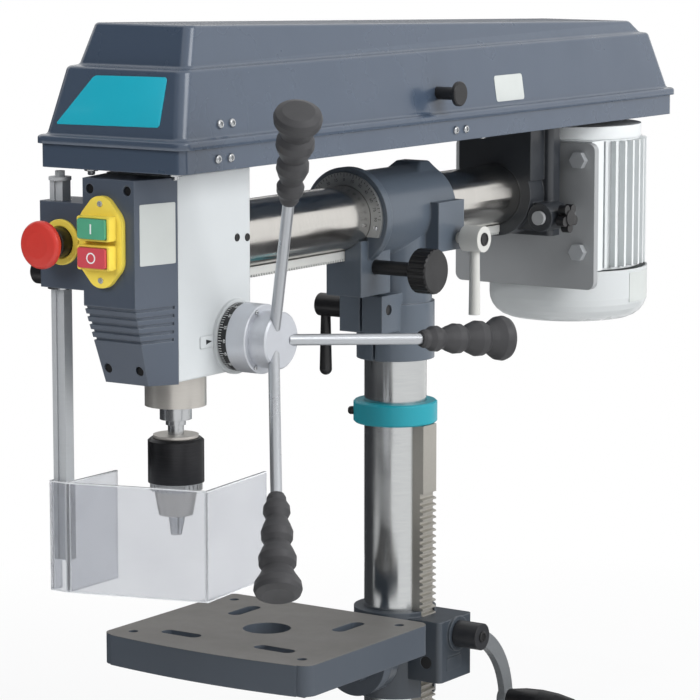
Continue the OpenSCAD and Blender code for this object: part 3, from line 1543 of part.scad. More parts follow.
module chuck_sleeve() {
    r = chuck_d / 2;
    color(black) at_head() translate([0, 0, -chuck_top - chuck_sleeve_h]) difference() {
        union() {
            rotate_extrude() polygon([[chuck_core_r + fit, -chuck_ring_h + run],
                [chuck_ring_r, -chuck_ring_h + run],
                [chuck_ring_r, 0], [r, 0], [r, chuck_sleeve_h - chuck_cap_h * 2],
                    [r - chuck_cap_h, chuck_sleeve_h - chuck_cap_h - run],
                [chuck_core_r + fit, chuck_sleeve_h - chuck_cap_h - run]]);
        }
        for (i = [0 : chuck_teeth - 1])
            rotate(i * tau / chuck_teeth) translate([chuck_ring_r - over, -over, -chuck_ring_h])
                cube([2 * over, 2 * over, chuck_ring_h - over]);
    }
}

module jaw(i) {
    color(steel) at_head() difference() {
        jaw_place(i) cylinder(r = jaw_d / 2, h = jaw_l);
        rotate(i * 120 - 90) for (s = [-1, 1])
            translate([0, 0, -jaw_tip_z - jaw_tip]) rotate(s * 60)
                translate([-jaw_tip, s > 0 ? -jaw_gap / 2 : jaw_gap / 2 - jaw_tip, 0])
                    cube([2 * jaw_tip, jaw_tip, 3 * jaw_tip]);
        translate([0, 0, -jaw_tip_z - jaw_tip]) cylinder(r = 3 * jaw_d, h = jaw_tip);
    }
}

module jaw_1() jaw(0);

module jaw_2() jaw(1);

module jaw_3() jaw(2);

module feed_pinion() {
    color(steel) at_head() translate([0, feed_y, -feed_z]) along_x() {
        translate([0, 0, -feed_pinion_w / 2]) rotate(-90) linear_extrude(feed_pinion_w)
            gear_2d(feed_teeth, feed_module);
        translate([0, 0, -head_w / 2 - spring_l + over])
            cylinder(r = feed_shaft_r, h = head_w / 2 + spring_l + hub_x1 - over);
    }
}

// Places one spoke: z runs outwards along it from the hub's axis
module spoke_place(a) {
    at_head() translate([spoke_x, feed_y, -feed_z]) rotate([-a, 0, 0]) rotate([0, spoke_lean, 0])
        children();
}

module feed_hub() {
    color("#c9ccce") difference() {
        at_head() translate([hub_x0, feed_y, -feed_z]) along_x() difference() {
            rotate_extrude() polygon([[0, 0], [hub_big_r, 0], [hub_big_r, hub_big_l - over],
                [hub_big_r - over, hub_big_l],
                [hub_small_r, hub_big_l], [hub_small_r, hub_big_l + hub_small_l - collar_chamfer],
                [hub_small_r - collar_chamfer, hub_big_l + hub_small_l], [0, hub_big_l + hub_small_l]]);
            translate([0, 0, -over]) cylinder(r = feed_shaft_r + fit, h = hub_x1 - hub_x0 + over + fit);
        }
        for (a = spoke_angles)
            spoke_place(a) translate([0, 0, spoke_start - fit])
                cylinder(r = spoke_d / 2 + fit, h = spoke_l);
    }
}

module feed_spokes() {
    color(silver) for (a = spoke_angles)
        spoke_place(a) translate([0, 0, spoke_start])
            cylinder(d = spoke_d, h = spoke_l - spoke_start - grip_l / 4);
}

module feed_grips() {
    color(black) for (a = spoke_angles)
        spoke_place(a) translate([0, 0, spoke_l - grip_l]) difference() {
            rotate_extrude() polygon(concat([[0, 0]],
                [for (p = grip_shares) [p[1] * grip_r, p[0] * grip_l]], [[0, grip_l]]));
            translate([0, 0, -over]) cylinder(r = spoke_d / 2 + fit, h = grip_l * 3 / 4 + over + fit);
        }
}

module depth_ring() {
    color(black) at_head() translate([head_w / 2 + feed_boss_h + run, feed_y, -feed_z]) along_x()
        difference() {
        cylinder(r = depth_ring_r, h = depth_ring_l);
        translate([0, 0, -over]) cylinder(r = feed_shaft_r + fit, h = depth_ring_l + 2 * over);
    }
}

module guard_collar() {
    color(black) at_head() translate([bar_x, bar_y, 0]) difference() {
        union() {
            translate([0, 0, -box_down - collar_lip_t])
                cylinder(r = collar_fit_r, h = box_up + box_down + collar_lip_t);
            translate([0, 0, -box_down - collar_lip_t - run])
                cylinder(r = collar_fit_r + collar_lip, h = collar_lip_t);
        }
        translate([0, 0, -box_down - box_up]) linear_extrude(3 * box_up + box_down)
            square([bar_w + 2 * fit, bar_t + 2 * fit], center = true);
    }
}

module guard_bar() {
    color(silver) at_head() translate([bar_x, bar_y, 0]) {
        difference() {
            translate([0, 0, -bar_down]) linear_extrude(bar_up + bar_down)
                square([bar_w, bar_t], center = true);
            translate([-bar_groove / 2, -bar_t / 2 - over, -bar_down - over])
                cube([bar_groove, bar_groove_depth + over, bar_up + bar_down + 2 * over]);
        }
        translate([0, 0, bar_up]) cylinder(r = collar_fit_r, h = bar_cap_t);
        translate([0, 0, bar_up + bar_cap_t]) cylinder(r = bar_bolt_r, h = bar_bolt_h, $fn = 6);
    }
}

module guard_shield() {
    left = [bar_x + shield_channel_x, bar_y - shield_front];
    far_left = [bar_x - shield_channel_x, bar_y - shield_front];
    right = [shield_right_x, shield_right_y];
    color(clear) at_head() translate([0, 0, -shield_top - shield_h]) linear_extrude(shield_h) {
        strip_2d([far_left[0], bar_y + bar_t / 2], far_left, shield_t);
        strip_2d(far_left, left, shield_t);
        strip_2d(left, right, shield_t);
        strip_2d(right, [shield_end_x, shield_end_y], shield_t);
        strip_2d(left, [left[0], shield_left_y], shield_t);
    }
}

module guard_knob() {
    color(black) at_head() translate([-box_left - run, bar_y, -guard_knob_z]) rotate([0, -90, 0]) {
        rotate_extrude() polygon([[0, 0], [guard_knob_r - over, 0], [guard_knob_r, over],
            [guard_knob_r, guard_knob_l - 2 * over],
            [guard_knob_r - 2 * over, guard_knob_l], [0, guard_knob_l]]);
        translate([0, 0, run - box_left - bar_x + collar_fit_r])
            cylinder(r = guard_screw_r, h = box_left + bar_x - collar_fit_r);
    }
}

base();
column_flange();
stand_screws();
column();
rack_collar();
column_rack();
table_bracket();
bracket_lever();
lift_gear();
worm_shaft();
crank_arm();
crank_grip();
work_table();
tilt_bolt();
arm_support();
angle_scale();
swivel_lever();
arm_lock_lever();
arm_rack();
extend_pinion();
extend_knob();
ram_tube();
head_casting();
front_cover();
cover_screws();
switch_plate();
start_button();
stop_button();
estop_base();
estop_head();
belt_pan();
motor_bracket();
drive_belt();
spring_housing();
quill();
spindle();
chuck_body();
chuck_sleeve();
jaw_1();
jaw_2();
jaw_3();
feed_hub();
feed_pinion();
feed_spokes();
feed_grips();
depth_ring();
spindle_pulley();
motor_plate();
plate_bolts();
motor_body();
motor_cowl();
motor_pulley();
wing_bolt();
belt_lid();
lid_knob();
lid_pins();
guard_collar();
guard_bar();
guard_shield();
guard_knob();
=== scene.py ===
"""Dresses the radial arm drill: a finish for every solid, and pieces too fine for the solids."""

from __future__ import annotations

import logging
import math
from dataclasses import dataclass, replace
from enum import Enum
from typing import Any, Callable, Iterable, Optional, Sequence

import bmesh
import bpy
from mathutils import Matrix, Vector


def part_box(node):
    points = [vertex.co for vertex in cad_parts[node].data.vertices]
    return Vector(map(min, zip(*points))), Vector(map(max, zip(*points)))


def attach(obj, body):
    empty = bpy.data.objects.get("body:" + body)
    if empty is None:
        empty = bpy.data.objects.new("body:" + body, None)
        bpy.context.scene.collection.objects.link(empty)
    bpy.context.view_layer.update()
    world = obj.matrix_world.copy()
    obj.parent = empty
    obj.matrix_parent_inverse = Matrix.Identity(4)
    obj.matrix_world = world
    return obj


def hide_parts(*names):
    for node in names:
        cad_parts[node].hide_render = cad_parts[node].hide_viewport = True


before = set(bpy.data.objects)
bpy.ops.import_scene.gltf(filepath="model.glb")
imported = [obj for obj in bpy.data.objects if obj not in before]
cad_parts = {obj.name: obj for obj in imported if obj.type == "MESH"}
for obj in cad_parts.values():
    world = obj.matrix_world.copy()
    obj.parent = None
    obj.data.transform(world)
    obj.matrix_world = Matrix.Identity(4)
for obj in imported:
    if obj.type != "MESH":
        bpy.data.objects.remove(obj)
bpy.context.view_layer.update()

LOG = logging.getLogger("radial_arm_drill")
MM = 0.001
# the height of the ram's axis above the floor; many heights below are measured from it
ARM_H = 676.0

RIGHT, LEFT, FRONT = (1, 0, 0), (-1, 0, 0), (0, -1, 0)
REAR, UP, DOWN = (0, 1, 0), (0, 0, 1), (0, 0, -1)

VECTOR, MAPPING = "ShaderNodeVectorMath", "ShaderNodeMapping"
SPLIT = "ShaderNodeSeparateXYZ"
STRETCH = {"vector_type": "TEXTURE"}
# the inputs of a colour mix
SHARE, FIRST, SECOND = 0, 6, 7
# all of a noise lies in the first range, and most of it in the second
FULL, MOST = (0.0, 1.0), (0.3, 0.7)
WHITE = (1, 1, 1, 1)

Flat = Sequence[tuple[float, float]]
Spot = tuple[float, float, float]
Plan = tuple[float, float, float, float]
Pair = tuple[float, float]
# a screw head's radius and height, and a plate's thickness, corner radius and softened edge
Head = tuple[float, float]
Skin = tuple[float, float, float]


class Axis(Enum):
    """The way that tool marks lie across: they are fine along this axis and long across it."""

    X = (1.0, 0.06, 0.06)
    Y = (0.06, 1.0, 0.06)
    Z = (0.06, 0.06, 1.0)
    EVEN = (1.0, 1.0, 1.0)

    @property
    def stretch(self) -> tuple[float, ...]:
        """How far a texture is drawn out along each axis."""
        return tuple(1.0 / c for c in self.value)


class Body(Enum):
    """The moving bodies that carry dressed pieces."""

    STAND = "stand"
    CRANK = "crank"
    BRACKET = "bracket"
    ARM_LOCK = "arm_lock"
    SUPPORT = "support"
    RAM = "ram"
    LID = "lid"
    MOTOR = "motor"
    FEED = "feed"
    DEPTH = "depth_ring"
    START = "start"
    STOP = "stop"


def linear(code: str) -> tuple[float, float, float, float]:
    """Turns an sRGB hex colour into linear light.

    Args:
        code: the colour as six hex digits after a hash sign.

    Returns:
        Linear red, green and blue, and an alpha of 1.
    """
    parts = [int(code[i : i + 2], 16) / 255.0 for i in (1, 3, 5)]
    light = [c / 12.92 if c <= 0.04045 else ((c + 0.055) / 1.055) ** 2.4 for c in parts]
    return (light[0], light[1], light[2], 1.0)


def set_sockets(tree: bpy.types.NodeTree, node: bpy.types.Node, sockets: dict[Any, Any]) -> None:
    """Sets or links the inputs of a node.

    Args:
        tree: the material's node tree.
        node: the node whose inputs are set.
        sockets: a value, an output socket, or a node for its first output, by input name or number.
    """
    for key, value in sockets.items():
        if isinstance(value, bpy.types.Node):
            value = next(out for out in value.outputs if out.enabled)
        if isinstance(value, bpy.types.NodeSocket):
            tree.links.new(value, node.inputs[key])
        else:
            node.inputs[key].default_value = value


def add_node(
    tree: bpy.types.NodeTree,
    kind: str,
    settings: Optional[dict[str, Any]] = None,
    sockets: Optional[dict[Any, Any]] = None,
) -> bpy.types.Node:
    """Adds a shader node with its settings, its socket values and its links.

    Args:
        tree: the material's node tree.
        kind: the node's type name.
        settings: properties of the node itself.
        sockets: what its inputs get, as for set_sockets.

    Returns:
        The new node.
    """
    node = tree.nodes.new(kind)
    for key, value in (settings or {}).items():
        setattr(node, key, value)
    set_sockets(tree, node, sockets or {})
    return node


def noise(
    tree: bpy.types.NodeTree, place: Any, size_mm: float, detail: float = 2.0, rough: float = 0.5
) -> bpy.types.Node:
    """Adds a noise with features of about size_mm, and finer layers down to its detail."""
    return add_node(tree, "ShaderNodeTexNoise", sockets={
        "Vector": place, "Scale": 1.0 / (size_mm * MM), "Detail": detail, "Roughness": rough})


def blend(tree: bpy.types.NodeTree, share: Any, first: Any, second: Any) -> bpy.types.Node:
    """Adds a mix of two colours, each a hex code or the node that gives it."""
    ends = [linear(c) if isinstance(c, str) else c for c in (first, second)]
    return add_node(tree, "ShaderNodeMix", {"data_type": "RGBA"}, {
        SHARE: share, FIRST: ends[0], SECOND: ends[1]})


def band(tree: bpy.types.NodeTree, value: Any, given: Pair, wanted: Pair) -> bpy.types.Node:
    """Adds a map from a given range of values to a wanted one, held at its ends."""
    return add_node(tree, "ShaderNodeMapRange", sockets={
        "Value": value, "From Min": given[0], "From Max": given[1],
        "To Min": wanted[0], "To Max": wanted[1]})


def soft_normal(tree: bpy.types.NodeTree, edge_mm: float, samples: int) -> bpy.types.Node:
    """Adds a normal that turns smoothly over edges, as if they were rounded by edge_mm."""
    return add_node(tree, "ShaderNodeBevel", {"samples": samples}, {"Radius": edge_mm * MM})


def relief(
    tree: bpy.types.NodeTree, strength: float, depth_mm: float, height: Any, normal: Any = None
) -> bpy.types.Node:
    """Adds a bump of at most depth_mm, on the softened normal where there is one."""
    sockets = {"Strength": strength, "Distance": depth_mm * MM, "Height": height}
    if normal is not None:
        sockets["Normal"] = normal
    return add_node(tree, "ShaderNodeBump", sockets=sockets)


def reckon(tree: bpy.types.NodeTree, operation: str, *values: Any) -> bpy.types.Node:
    """Adds a sum, a product or a test of values, each a number or what gives it."""
    return add_node(tree, "ShaderNodeMath", {"operation": operation}, dict(enumerate(values)))


def start_material(
    name: str,
) -> tuple[bpy.types.Material, bpy.types.NodeTree, bpy.types.Node, bpy.types.NodeSocket]:
    """Makes an empty material with a Principled shader on its output.

    Args:
        name: the material's name.

    Returns:
        The material, its node tree, the shader node and the place on the object.
    """
    made = bpy.data.materials.new(name)
    made.use_nodes = True
    tree = made.node_tree
    tree.nodes.clear()
    shader = add_node(tree, "ShaderNodeBsdfPrincipled")
    add_node(tree, "ShaderNodeOutputMaterial", sockets={"Surface": shader})
    return made, tree, shader, add_node(tree, "ShaderNodeTexCoord").outputs["Object"]


def edge_turn(tree: bpy.types.NodeTree, soft: bpy.types.Node) -> bpy.types.Node:
    """Tells edges from flats: 1 on a flat, and less where the softened normal turns away.

    Args:
        tree: the material's node tree.
        soft: the bevel node that softens the normal.

    Returns:
        The node that compares the two normals.
    """
    true = add_node(tree, "ShaderNodeNewGeometry").outputs["True Normal"]
    return add_node(tree, VECTOR, {"operation": "DOT_PRODUCT"}, {0: soft, 1: true})


@dataclass(frozen=True)
class Enamel:
    """Stoved enamel on cast iron or sheet: soft gloss, orange peel, edges rubbed a little paler."""

    name: str
    colour: str
    shade: str
    rubbed: str
    roughness: float = 0.36
    peel_mm: float = 2.4
    peel: float = 0.10
    edge_mm: float = 1.4
    coat: float = 0.18
    drift_mm: float = 90.0
    chip_mm: float = 7.0

    def build(self) -> bpy.types.Material:
        """Makes the material."""
        made, tree, shader, place = start_material(self.name)
        # the coat's thickness drifts over a hand's width
        drift = noise(tree, place, self.drift_mm, 4.0, 0.55)
        tone = blend(tree, drift, self.colour, self.shade)
        soft = soft_normal(tree, self.edge_mm, 6)
        chips = noise(tree, place, self.chip_mm, 5.0, 0.7)
        edge = band(tree, edge_turn(tree, soft), (0.99, 0.80), (0.0, 0.75))
        worn = reckon(tree, "MULTIPLY", edge, chips)
        skin = blend(tree, worn, tone, self.rubbed)
        dull = band(tree, drift, MOST, (self.roughness - 0.06, self.roughness + 0.08))
        # orange peel is about a millimetre across, drawn coarser so that it shows
        peel = noise(tree, place, self.peel_mm)
        bump = relief(tree, self.peel, 0.4, peel, soft)
        set_sockets(tree, shader, {
            "Base Color": skin, "Roughness": dull, "Normal": bump, "IOR": 1.5,
            "Coat Weight": self.coat, "Coat Roughness": 0.12})
        return made


@dataclass(frozen=True)
class WorkedMetal:
    """Ground, turned or drawn metal: bright, with fine tool marks that lie across one axis."""

    name: str
    colour: str
    shade: str
    roughness: float = 0.27
    grain: Axis = Axis.EVEN
    grain_mm: float = 0.9
    depth: float = 0.10
    metallic: float = 1.0
    edge_mm: float = 0.5
    haze_mm: float = 38.0

    def build(self) -> bpy.types.Material:
        """Makes the material."""
        made, tree, shader, place = start_material(self.name)
        laid = add_node(tree, MAPPING, STRETCH, {"Vector": place, "Scale": self.grain.stretch})
        marks = noise(tree, laid, self.grain_mm, 3.0, 0.6)
        haze = noise(tree, place, self.haze_mm, 4.0)
        spread = reckon(tree, "MULTIPLY_ADD", marks, 0.5, 0.12)
        tone = blend(tree, spread, self.colour, self.shade)
        dull = band(tree, haze, MOST, (self.roughness - 0.05, self.roughness + 0.07))
        soft = soft_normal(tree, self.edge_mm, 4)
        bump = relief(tree, self.depth, 0.15, marks, soft)
        set_sockets(tree, shader, {
            "Base Color": tone, "Roughness": dull, "Normal": bump, "Metallic": self.metallic})
        return made


@dataclass(frozen=True)
class Moulded:
    """Moulded plastic or rubber: even colour with a fine sparked grain and handling haze."""

    name: str
    colour: str
    shade: str
    roughness: float = 0.42
    grain_mm: float = 0.8
    depth: float = 0.12
    edge_mm: float = 0.8
    cloud_mm: float = 22.0

    def build(self) -> bpy.types.Material:
        """Makes the material."""
        made, tree, shader, place = start_material(self.name)
        cloud = noise(tree, place, self.cloud_mm, 3.0)
        tone = blend(tree, cloud, self.colour, self.shade)
        # the sparked grain is about 0.3 mm, drawn coarser so that it shows
        grain = noise(tree, place, self.grain_mm, 1.0)
        dull = band(tree, cloud, MOST, (self.roughness - 0.06, self.roughness + 0.08))
        soft = soft_normal(tree, self.edge_mm, 4)
        bump = relief(tree, self.depth, 0.2, grain, soft)
        set_sockets(tree, shader,
                    {"Base Color": tone, "Roughness": dull, "Normal": bump, "IOR": 1.49})
        return made


@dataclass(frozen=True)
class ClearSheet:
    """Bent polycarbonate sheet: clear, with hairline scratches, and whitish along its edges and
    bends: frosted on the sawn edges, and a painted highlight.
    """

    name: str
    tint: str
    haze: str
    cut: str
    # the colour of the rim on edges and bends: the frosted sawn edge, and a painted highlight
    scratch_mm: float = 1.6
    haze_mm: float = 45.0
    clear: float = 0.86
    edge_mm: float = 2.6
    edge_clear: float = 0.05

    def build(self) -> bpy.types.Material:
        """Makes the material."""
        made, tree, shader, place = start_material(self.name)
        drawn = add_node(tree, MAPPING, STRETCH, {
            "Vector": place, "Rotation": (0.3, 0.5, 0.2), "Scale": (1.0, 1.0, 18.0)})
        scratch = noise(tree, drawn, self.scratch_mm)
        dull = band(tree, scratch, (0.62, 0.75), (0.06, 0.18))
        haze = noise(tree, place, self.haze_mm)
        tone = blend(tree, haze, self.tint, self.haze)
        bump = relief(tree, 0.04, 0.1, scratch)
        # the sawn edges are frosted, and the whitish rim is also a painted highlight on them and on
        # the bends
        soft = soft_normal(tree, self.edge_mm, 6)
        edge = band(tree, edge_turn(tree, soft), (0.995, 0.93), FULL)
        skin = blend(tree, edge, tone, self.cut)
        through = band(tree, edge, FULL, (self.clear, self.edge_clear))
        set_sockets(tree, shader, {
            "Base Color": skin, "Roughness": dull, "Normal": bump, "Transmission Weight": through,
            "IOR": 1.45})
        return made


@dataclass(frozen=True)
class PlanedIron:
    """An enamelled casting whose top face is planed bare and has gone brown with oil."""

    name: str
    paint: str
    iron: str
    oiled: str
    top_mm: float
    planed_mm: float = 1.5
    stain_mm: float = 55.0
    edge_mm: float = 1.6

    def build(self) -> bpy.types.Material:
        """Makes the material."""
        made, tree, shader, place = start_material(self.name)
        high = add_node(tree, SPLIT, sockets={"Vector": place}).outputs["Z"]
        bare = reckon(tree, "GREATER_THAN", high, (self.top_mm - 0.2) * MM)
        laid = add_node(tree, MAPPING, STRETCH, {"Vector": place, "Scale": (1.0, 22.0, 1.0)})
        # planing marks are half a millimetre apart, drawn three times as wide so that they show
        marks = noise(tree, laid, self.planed_mm)
        stain = noise(tree, place, self.stain_mm, 5.0)
        planed = blend(tree, stain, self.iron, self.oiled)
        skin = blend(tree, bare, self.paint, planed)
        dull = band(tree, stain, MOST, (0.40, 0.56))
        soft = soft_normal(tree, self.edge_mm, 6)
        bump = relief(tree, 0.08, 0.2, marks, soft)
        sheen = reckon(tree, "MULTIPLY", bare, 0.45)
        set_sockets(tree, shader, {
            "Base Color": skin, "Metallic": sheen, "Roughness": dull, "Normal": bump})
        return made


@dataclass(frozen=True)
class ChuckSteel:
    """A blacked chuck sleeve whose toothed ring is left bright."""

    name: str
    black: str
    oiled: str
    bright: str
    ring_mm: float
    turned_mm: float = 1.0
    edge_mm: float = 0.6

    def build(self) -> bpy.types.Material:
        """Makes the material."""
        made, tree, shader, place = start_material(self.name)
        high = add_node(tree, SPLIT, sockets={"Vector": place}).outputs["Z"]
        ring = reckon(tree, "LESS_THAN", high, self.ring_mm * MM)
        laid = add_node(tree, MAPPING, STRETCH, {"Vector": place, "Scale": Axis.Z.stretch})
        # the turning marks are finer than half a millimetre, drawn coarser so that they show
        marks = noise(tree, laid, self.turned_mm, 3.0)
        dark = blend(tree, marks, self.black, self.oiled)
        tone = blend(tree, ring, dark, self.bright)
        dull = band(tree, marks, FULL, (0.28, 0.46))
        soft = soft_normal(tree, self.edge_mm, 4)
        bump = relief(tree, 0.08, 0.15, marks, soft)
        set_sockets(tree, shader, {
            "Base Color": tone, "Roughness": dull, "Normal": bump, "Metallic": 0.85})
        return made


@dataclass(frozen=True)
class CrankIron:
    """A cast crank: grey arm, and a hub blacked where it turns on its shaft."""

    name: str
    arm: str
    cast: str
    hub: str
    centre_mm: tuple[float, float]
    hub_r_mm: float
    eye_x_mm: float
    sand_mm: float = 2.2
    edge_mm: float = 1.5

    def build(self) -> bpy.types.Material:
        """Makes the material."""
        made, tree, shader, place = start_material(self.name)
        aside = add_node(tree, MAPPING, {"vector_type": "POINT"}, {
            "Vector": place, "Scale": (0.0, 1.0, 1.0)})
        far = add_node(tree, VECTOR, {"operation": "DISTANCE"}, {
            0: aside, 1: (0.0, self.centre_mm[0] * MM, self.centre_mm[1] * MM)})
        on_arm = reckon(tree, "GREATER_THAN", far, self.hub_r_mm * MM)
        across = add_node(tree, SPLIT, sockets={"Vector": place}).outputs["X"]
        in_eye = reckon(tree, "GREATER_THAN", across, self.eye_x_mm * MM)
        bare = reckon(tree, "MAXIMUM", on_arm, in_eye)
        sand = noise(tree, place, self.sand_mm, 4.0)
        grey = blend(tree, sand, self.arm, self.cast)
        tone = blend(tree, bare, self.hub, grey)
        soft = soft_normal(tree, self.edge_mm, 6)
        bump = relief(tree, 0.18, 0.3, sand, soft)
        dull = band(tree, sand, FULL, (0.34, 0.52))
        set_sockets(tree, shader, {"Base Color": tone, "Roughness": dull, "Normal": bump})
        return made


Finish = Enamel | WorkedMetal | Moulded | ClearSheet | PlanedIron | ChuckSteel | CrankIron

SLATE = Enamel("slate_enamel", "#404c5d", "#3a4656", "#7b8694", 0.28, coat=0.45)
DARK_COVER = Enamel("dark_cover_enamel", "#47505d", "#414956", "#7a838c", 0.40, 1.8, 0.14)
DARK_CAST = Enamel("dark_casting_enamel", "#515a65", "#49525c", "#7f868e", 0.38, 3.5, 0.20, 2.2)
BASE_CAST = replace(
    DARK_CAST, name="base_casting_enamel", colour="#48505a", shade="#414951", roughness=0.56)
BRACKET_GREY = Enamel("lift_casting_enamel", "#3a4149", "#333940", "#6c737a", 0.38, 3.5, 0.20, 2.0)
WINDOW_GREY = replace(BRACKET_GREY, name="window_cover_enamel", rubbed="#3a4149", edge_mm=0.05)
BRACKET_BLACK = Enamel("black_casting_enamel", "#2c2f34", "#25282c", "#5d6165", 0.36, 3.5, 0.20,
                       2.0)
PALE = Enamel("pale_enamel", "#c4c8ca", "#bbbfc1", "#d8dadb", 0.34, edge_mm=2.4)
MOTOR_PALE = Enamel("motor_enamel", "#c3c6c7", "#b9bdbe", "#e0e2e2", 0.33, edge_mm=0.9)
# the finned body wears the motor's paint painted lighter than the cowl, painted light that
# brightens the shade in the grooves between the fins
MOTOR_FINS_PAINTED_LIGHTER = Enamel("motor_fin_enamel_painted_lighter", "#d7dadb", "#cdd1d2", "#e6e8e8", 0.36, edge_mm=0.9)
PLATE_GREY = Enamel("plate_enamel", "#9a9c9e", "#909294", "#c2c4c5", 0.40)
TEAL = Enamel("teal_enamel", "#0e93a2", "#0a8796", "#4fb9c4", 0.40, coat=0.10)
TEAL_PLATE = Enamel("teal_label_film", "#1dabc1", "#19a1b7", "#56c6d6", 0.30, peel=0.03,
                    edge_mm=0.2)
SILVER_LEVER = Enamel("silver_lever_enamel", "#c4c4c0", "#b8b8b4", "#dcdcd8", 0.36)
GROUND_COLUMN = WorkedMetal("ground_column_steel", "#cfd1d1", "#b4b6b7", 0.21, Axis.Z, 1.0, 0.06)
GROUND_RAM = WorkedMetal("ground_ram_steel", "#dedbd6", "#c4c1bc", 0.20, Axis.Y, 1.0, 0.05)
BRIGHT = WorkedMetal("bright_steel", "#c9cbcd", "#b0b2b4", 0.22)
SPOKE = WorkedMetal("drawn_spoke_steel", "#b6b9bd", "#abaeb2", 0.30, Axis.EVEN, 2.6, 0.02, 0.8)
HUB_ALLOY = WorkedMetal("satin_hub_alloy", "#c9ccd2", "#bec1c7", 0.42, Axis.X, 0.9, 0.05, 0.6)
SPINDLE = WorkedMetal("turned_quill_steel", "#cdc9c3", "#b2aea8", 0.34, Axis.Z, 0.8, 0.10, 0.72)
PULLEY = WorkedMetal("turned_pulley_alloy", "#c6c8c9", "#adafb0", 0.34, Axis.Z, 1.0, 0.12)
BLACK_STEEL = WorkedMetal("blacked_steel", "#3a3a3b", "#2a2a2b", 0.38, Axis.EVEN, 1.6, 0.08, 0.7)
RACK_STEEL = WorkedMetal("milled_rack_steel", "#c2bfb8", "#a39f97", 0.36, Axis.EVEN, 1.4, 0.10, 0.7)
ARM_RACK = WorkedMetal("plated_rack_steel", "#d4d5d2", "#c0c1be", 0.42, Axis.EVEN, 1.2, 0.05, 0.45)
PLATED = WorkedMetal("zinc_plated_steel", "#c3c6c9", "#b0b3b6", 0.36, Axis.EVEN, 1.2, 0.05, 0.55)
BAR_ZINC = WorkedMetal("zinc_bar_steel", "#bfc2c5", "#adb0b3", 0.42, Axis.Z, 1.2, 0.05, 0.22)
SCALE_ALLOY = WorkedMetal("scale_alloy", "#a9abac", "#909293", 0.40, Axis.EVEN, 1.2, 0.05, 0.8)
BLACK = Moulded("black_phenolic", "#1a1a1c", "#141416", 0.36)
GRIP = Moulded("black_grip_rubber", "#39393b", "#2f2f31", 0.52, 1.2, 0.16, 1.2)
YELLOW = Moulded("yellow_switch_plastic", "#efd85c", "#e5cd50", 0.36)
RED = Moulded("red_button_plastic", "#cb3c33", "#be342c", 0.34)
STOP_RED = Moulded("stop_button_plastic", "#cc4f58", "#c0454f", 0.34)
GREEN = Moulded("green_button_plastic", "#55a584", "#4b9878", 0.34)
BELT = Moulded("belt_rubber", "#1d1d1e", "#262627", 0.70, 1.6, 0.25)
INK_BLACK = Moulded("black_mark_ink", "#17181a", "#202124", 0.45, edge_mm=0.05)
INK_WHITE = Moulded("white_mark_ink", "#eef0f0", "#e3e6e6", 0.45, edge_mm=0.05)
LABEL_WHITE = Moulded("white_label_film", "#bfc3c1", "#b8bcba", 0.40, 2.0, 0.03, 0.2)
# the last colour is the whitish rim on edges and bends: frosted cut, and a painted highlight
CLEAR = ClearSheet("clear_guard_sheet", "#d3d5da", "#e0e2e6", "#eceef0")
TABLE = PlanedIron("planed_table_iron", "#3f464f", "#7d7b78", "#6c6a68", 308.5)
CHUCK_RING = 7.0
CHUCK = ChuckSteel(
    "blacked_chuck_steel", "#2b2b2d", "#3d3d3f", "#b3b4b5",
    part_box("chuck_sleeve")[0].z / MM + CHUCK_RING)
CRANK = CrankIron("cast_crank_iron", "#5e6164", "#707375", "#222326", (4.0, 269.7), 14.5, 120.0)

NODE_FINISH: dict[str, Finish] = {
    "base": BASE_CAST, "column_flange": BASE_CAST, "stand_screws": BRIGHT, "column": GROUND_COLUMN,
    "rack_collar": TEAL, "column_rack": RACK_STEEL, "table_bracket": BRACKET_GREY,
    "bracket_lever": BLACK, "lift_gear": BLACK_STEEL, "worm_shaft": BRIGHT, "crank_arm": CRANK,
    "crank_grip": BLACK, "work_table": TABLE, "tilt_bolt": BRIGHT, "arm_support": DARK_CAST,
    "angle_scale": SCALE_ALLOY, "swivel_lever": BLACK, "arm_lock_lever": SILVER_LEVER,
    "arm_rack": ARM_RACK, "extend_pinion": BLACK_STEEL, "extend_knob": BLACK,
    "ram_tube": GROUND_RAM, "head_casting": PALE, "front_cover": DARK_COVER,
    "cover_screws": BLACK_STEEL, "switch_plate": YELLOW, "start_button": GREEN,
    "stop_button": STOP_RED, "estop_base": YELLOW, "estop_head": RED, "belt_pan": SLATE,
    "motor_bracket": BRACKET_BLACK, "drive_belt": BELT, "spring_housing": BLACK_STEEL,
    "quill": SPINDLE, "spindle": BRIGHT, "chuck_body": SPINDLE, "chuck_sleeve": CHUCK,
    "jaw_1": BRIGHT, "jaw_2": BRIGHT, "jaw_3": BRIGHT, "feed_hub": HUB_ALLOY, "feed_pinion": BRIGHT,
    "feed_spokes": SPOKE, "feed_grips": GRIP, "depth_ring": BLACK, "spindle_pulley": PULLEY,
    "motor_plate": PLATE_GREY, "plate_bolts": PLATED, "motor_body": MOTOR_FINS_PAINTED_LIGHTER,
    "motor_cowl": MOTOR_PALE, "motor_pulley": PULLEY, "wing_bolt": BLACK, "belt_lid": SLATE,
    "lid_knob": BLACK, "lid_pins": BRIGHT, "guard_collar": BRIGHT, "guard_bar": BAR_ZINC,
    "guard_shield": CLEAR, "guard_knob": BLACK,
}


def put_in_scene(name: str, data: bpy.types.ID) -> bpy.types.Object:
    """Makes an object at the origin and links it to the scene.

    Args:
        name: the object's name.
        data: its mesh, light or camera.

    Returns:
        The new object.
    """
    made = bpy.data.objects.new(name, data)
    bpy.context.scene.collection.objects.link(made)
    return made


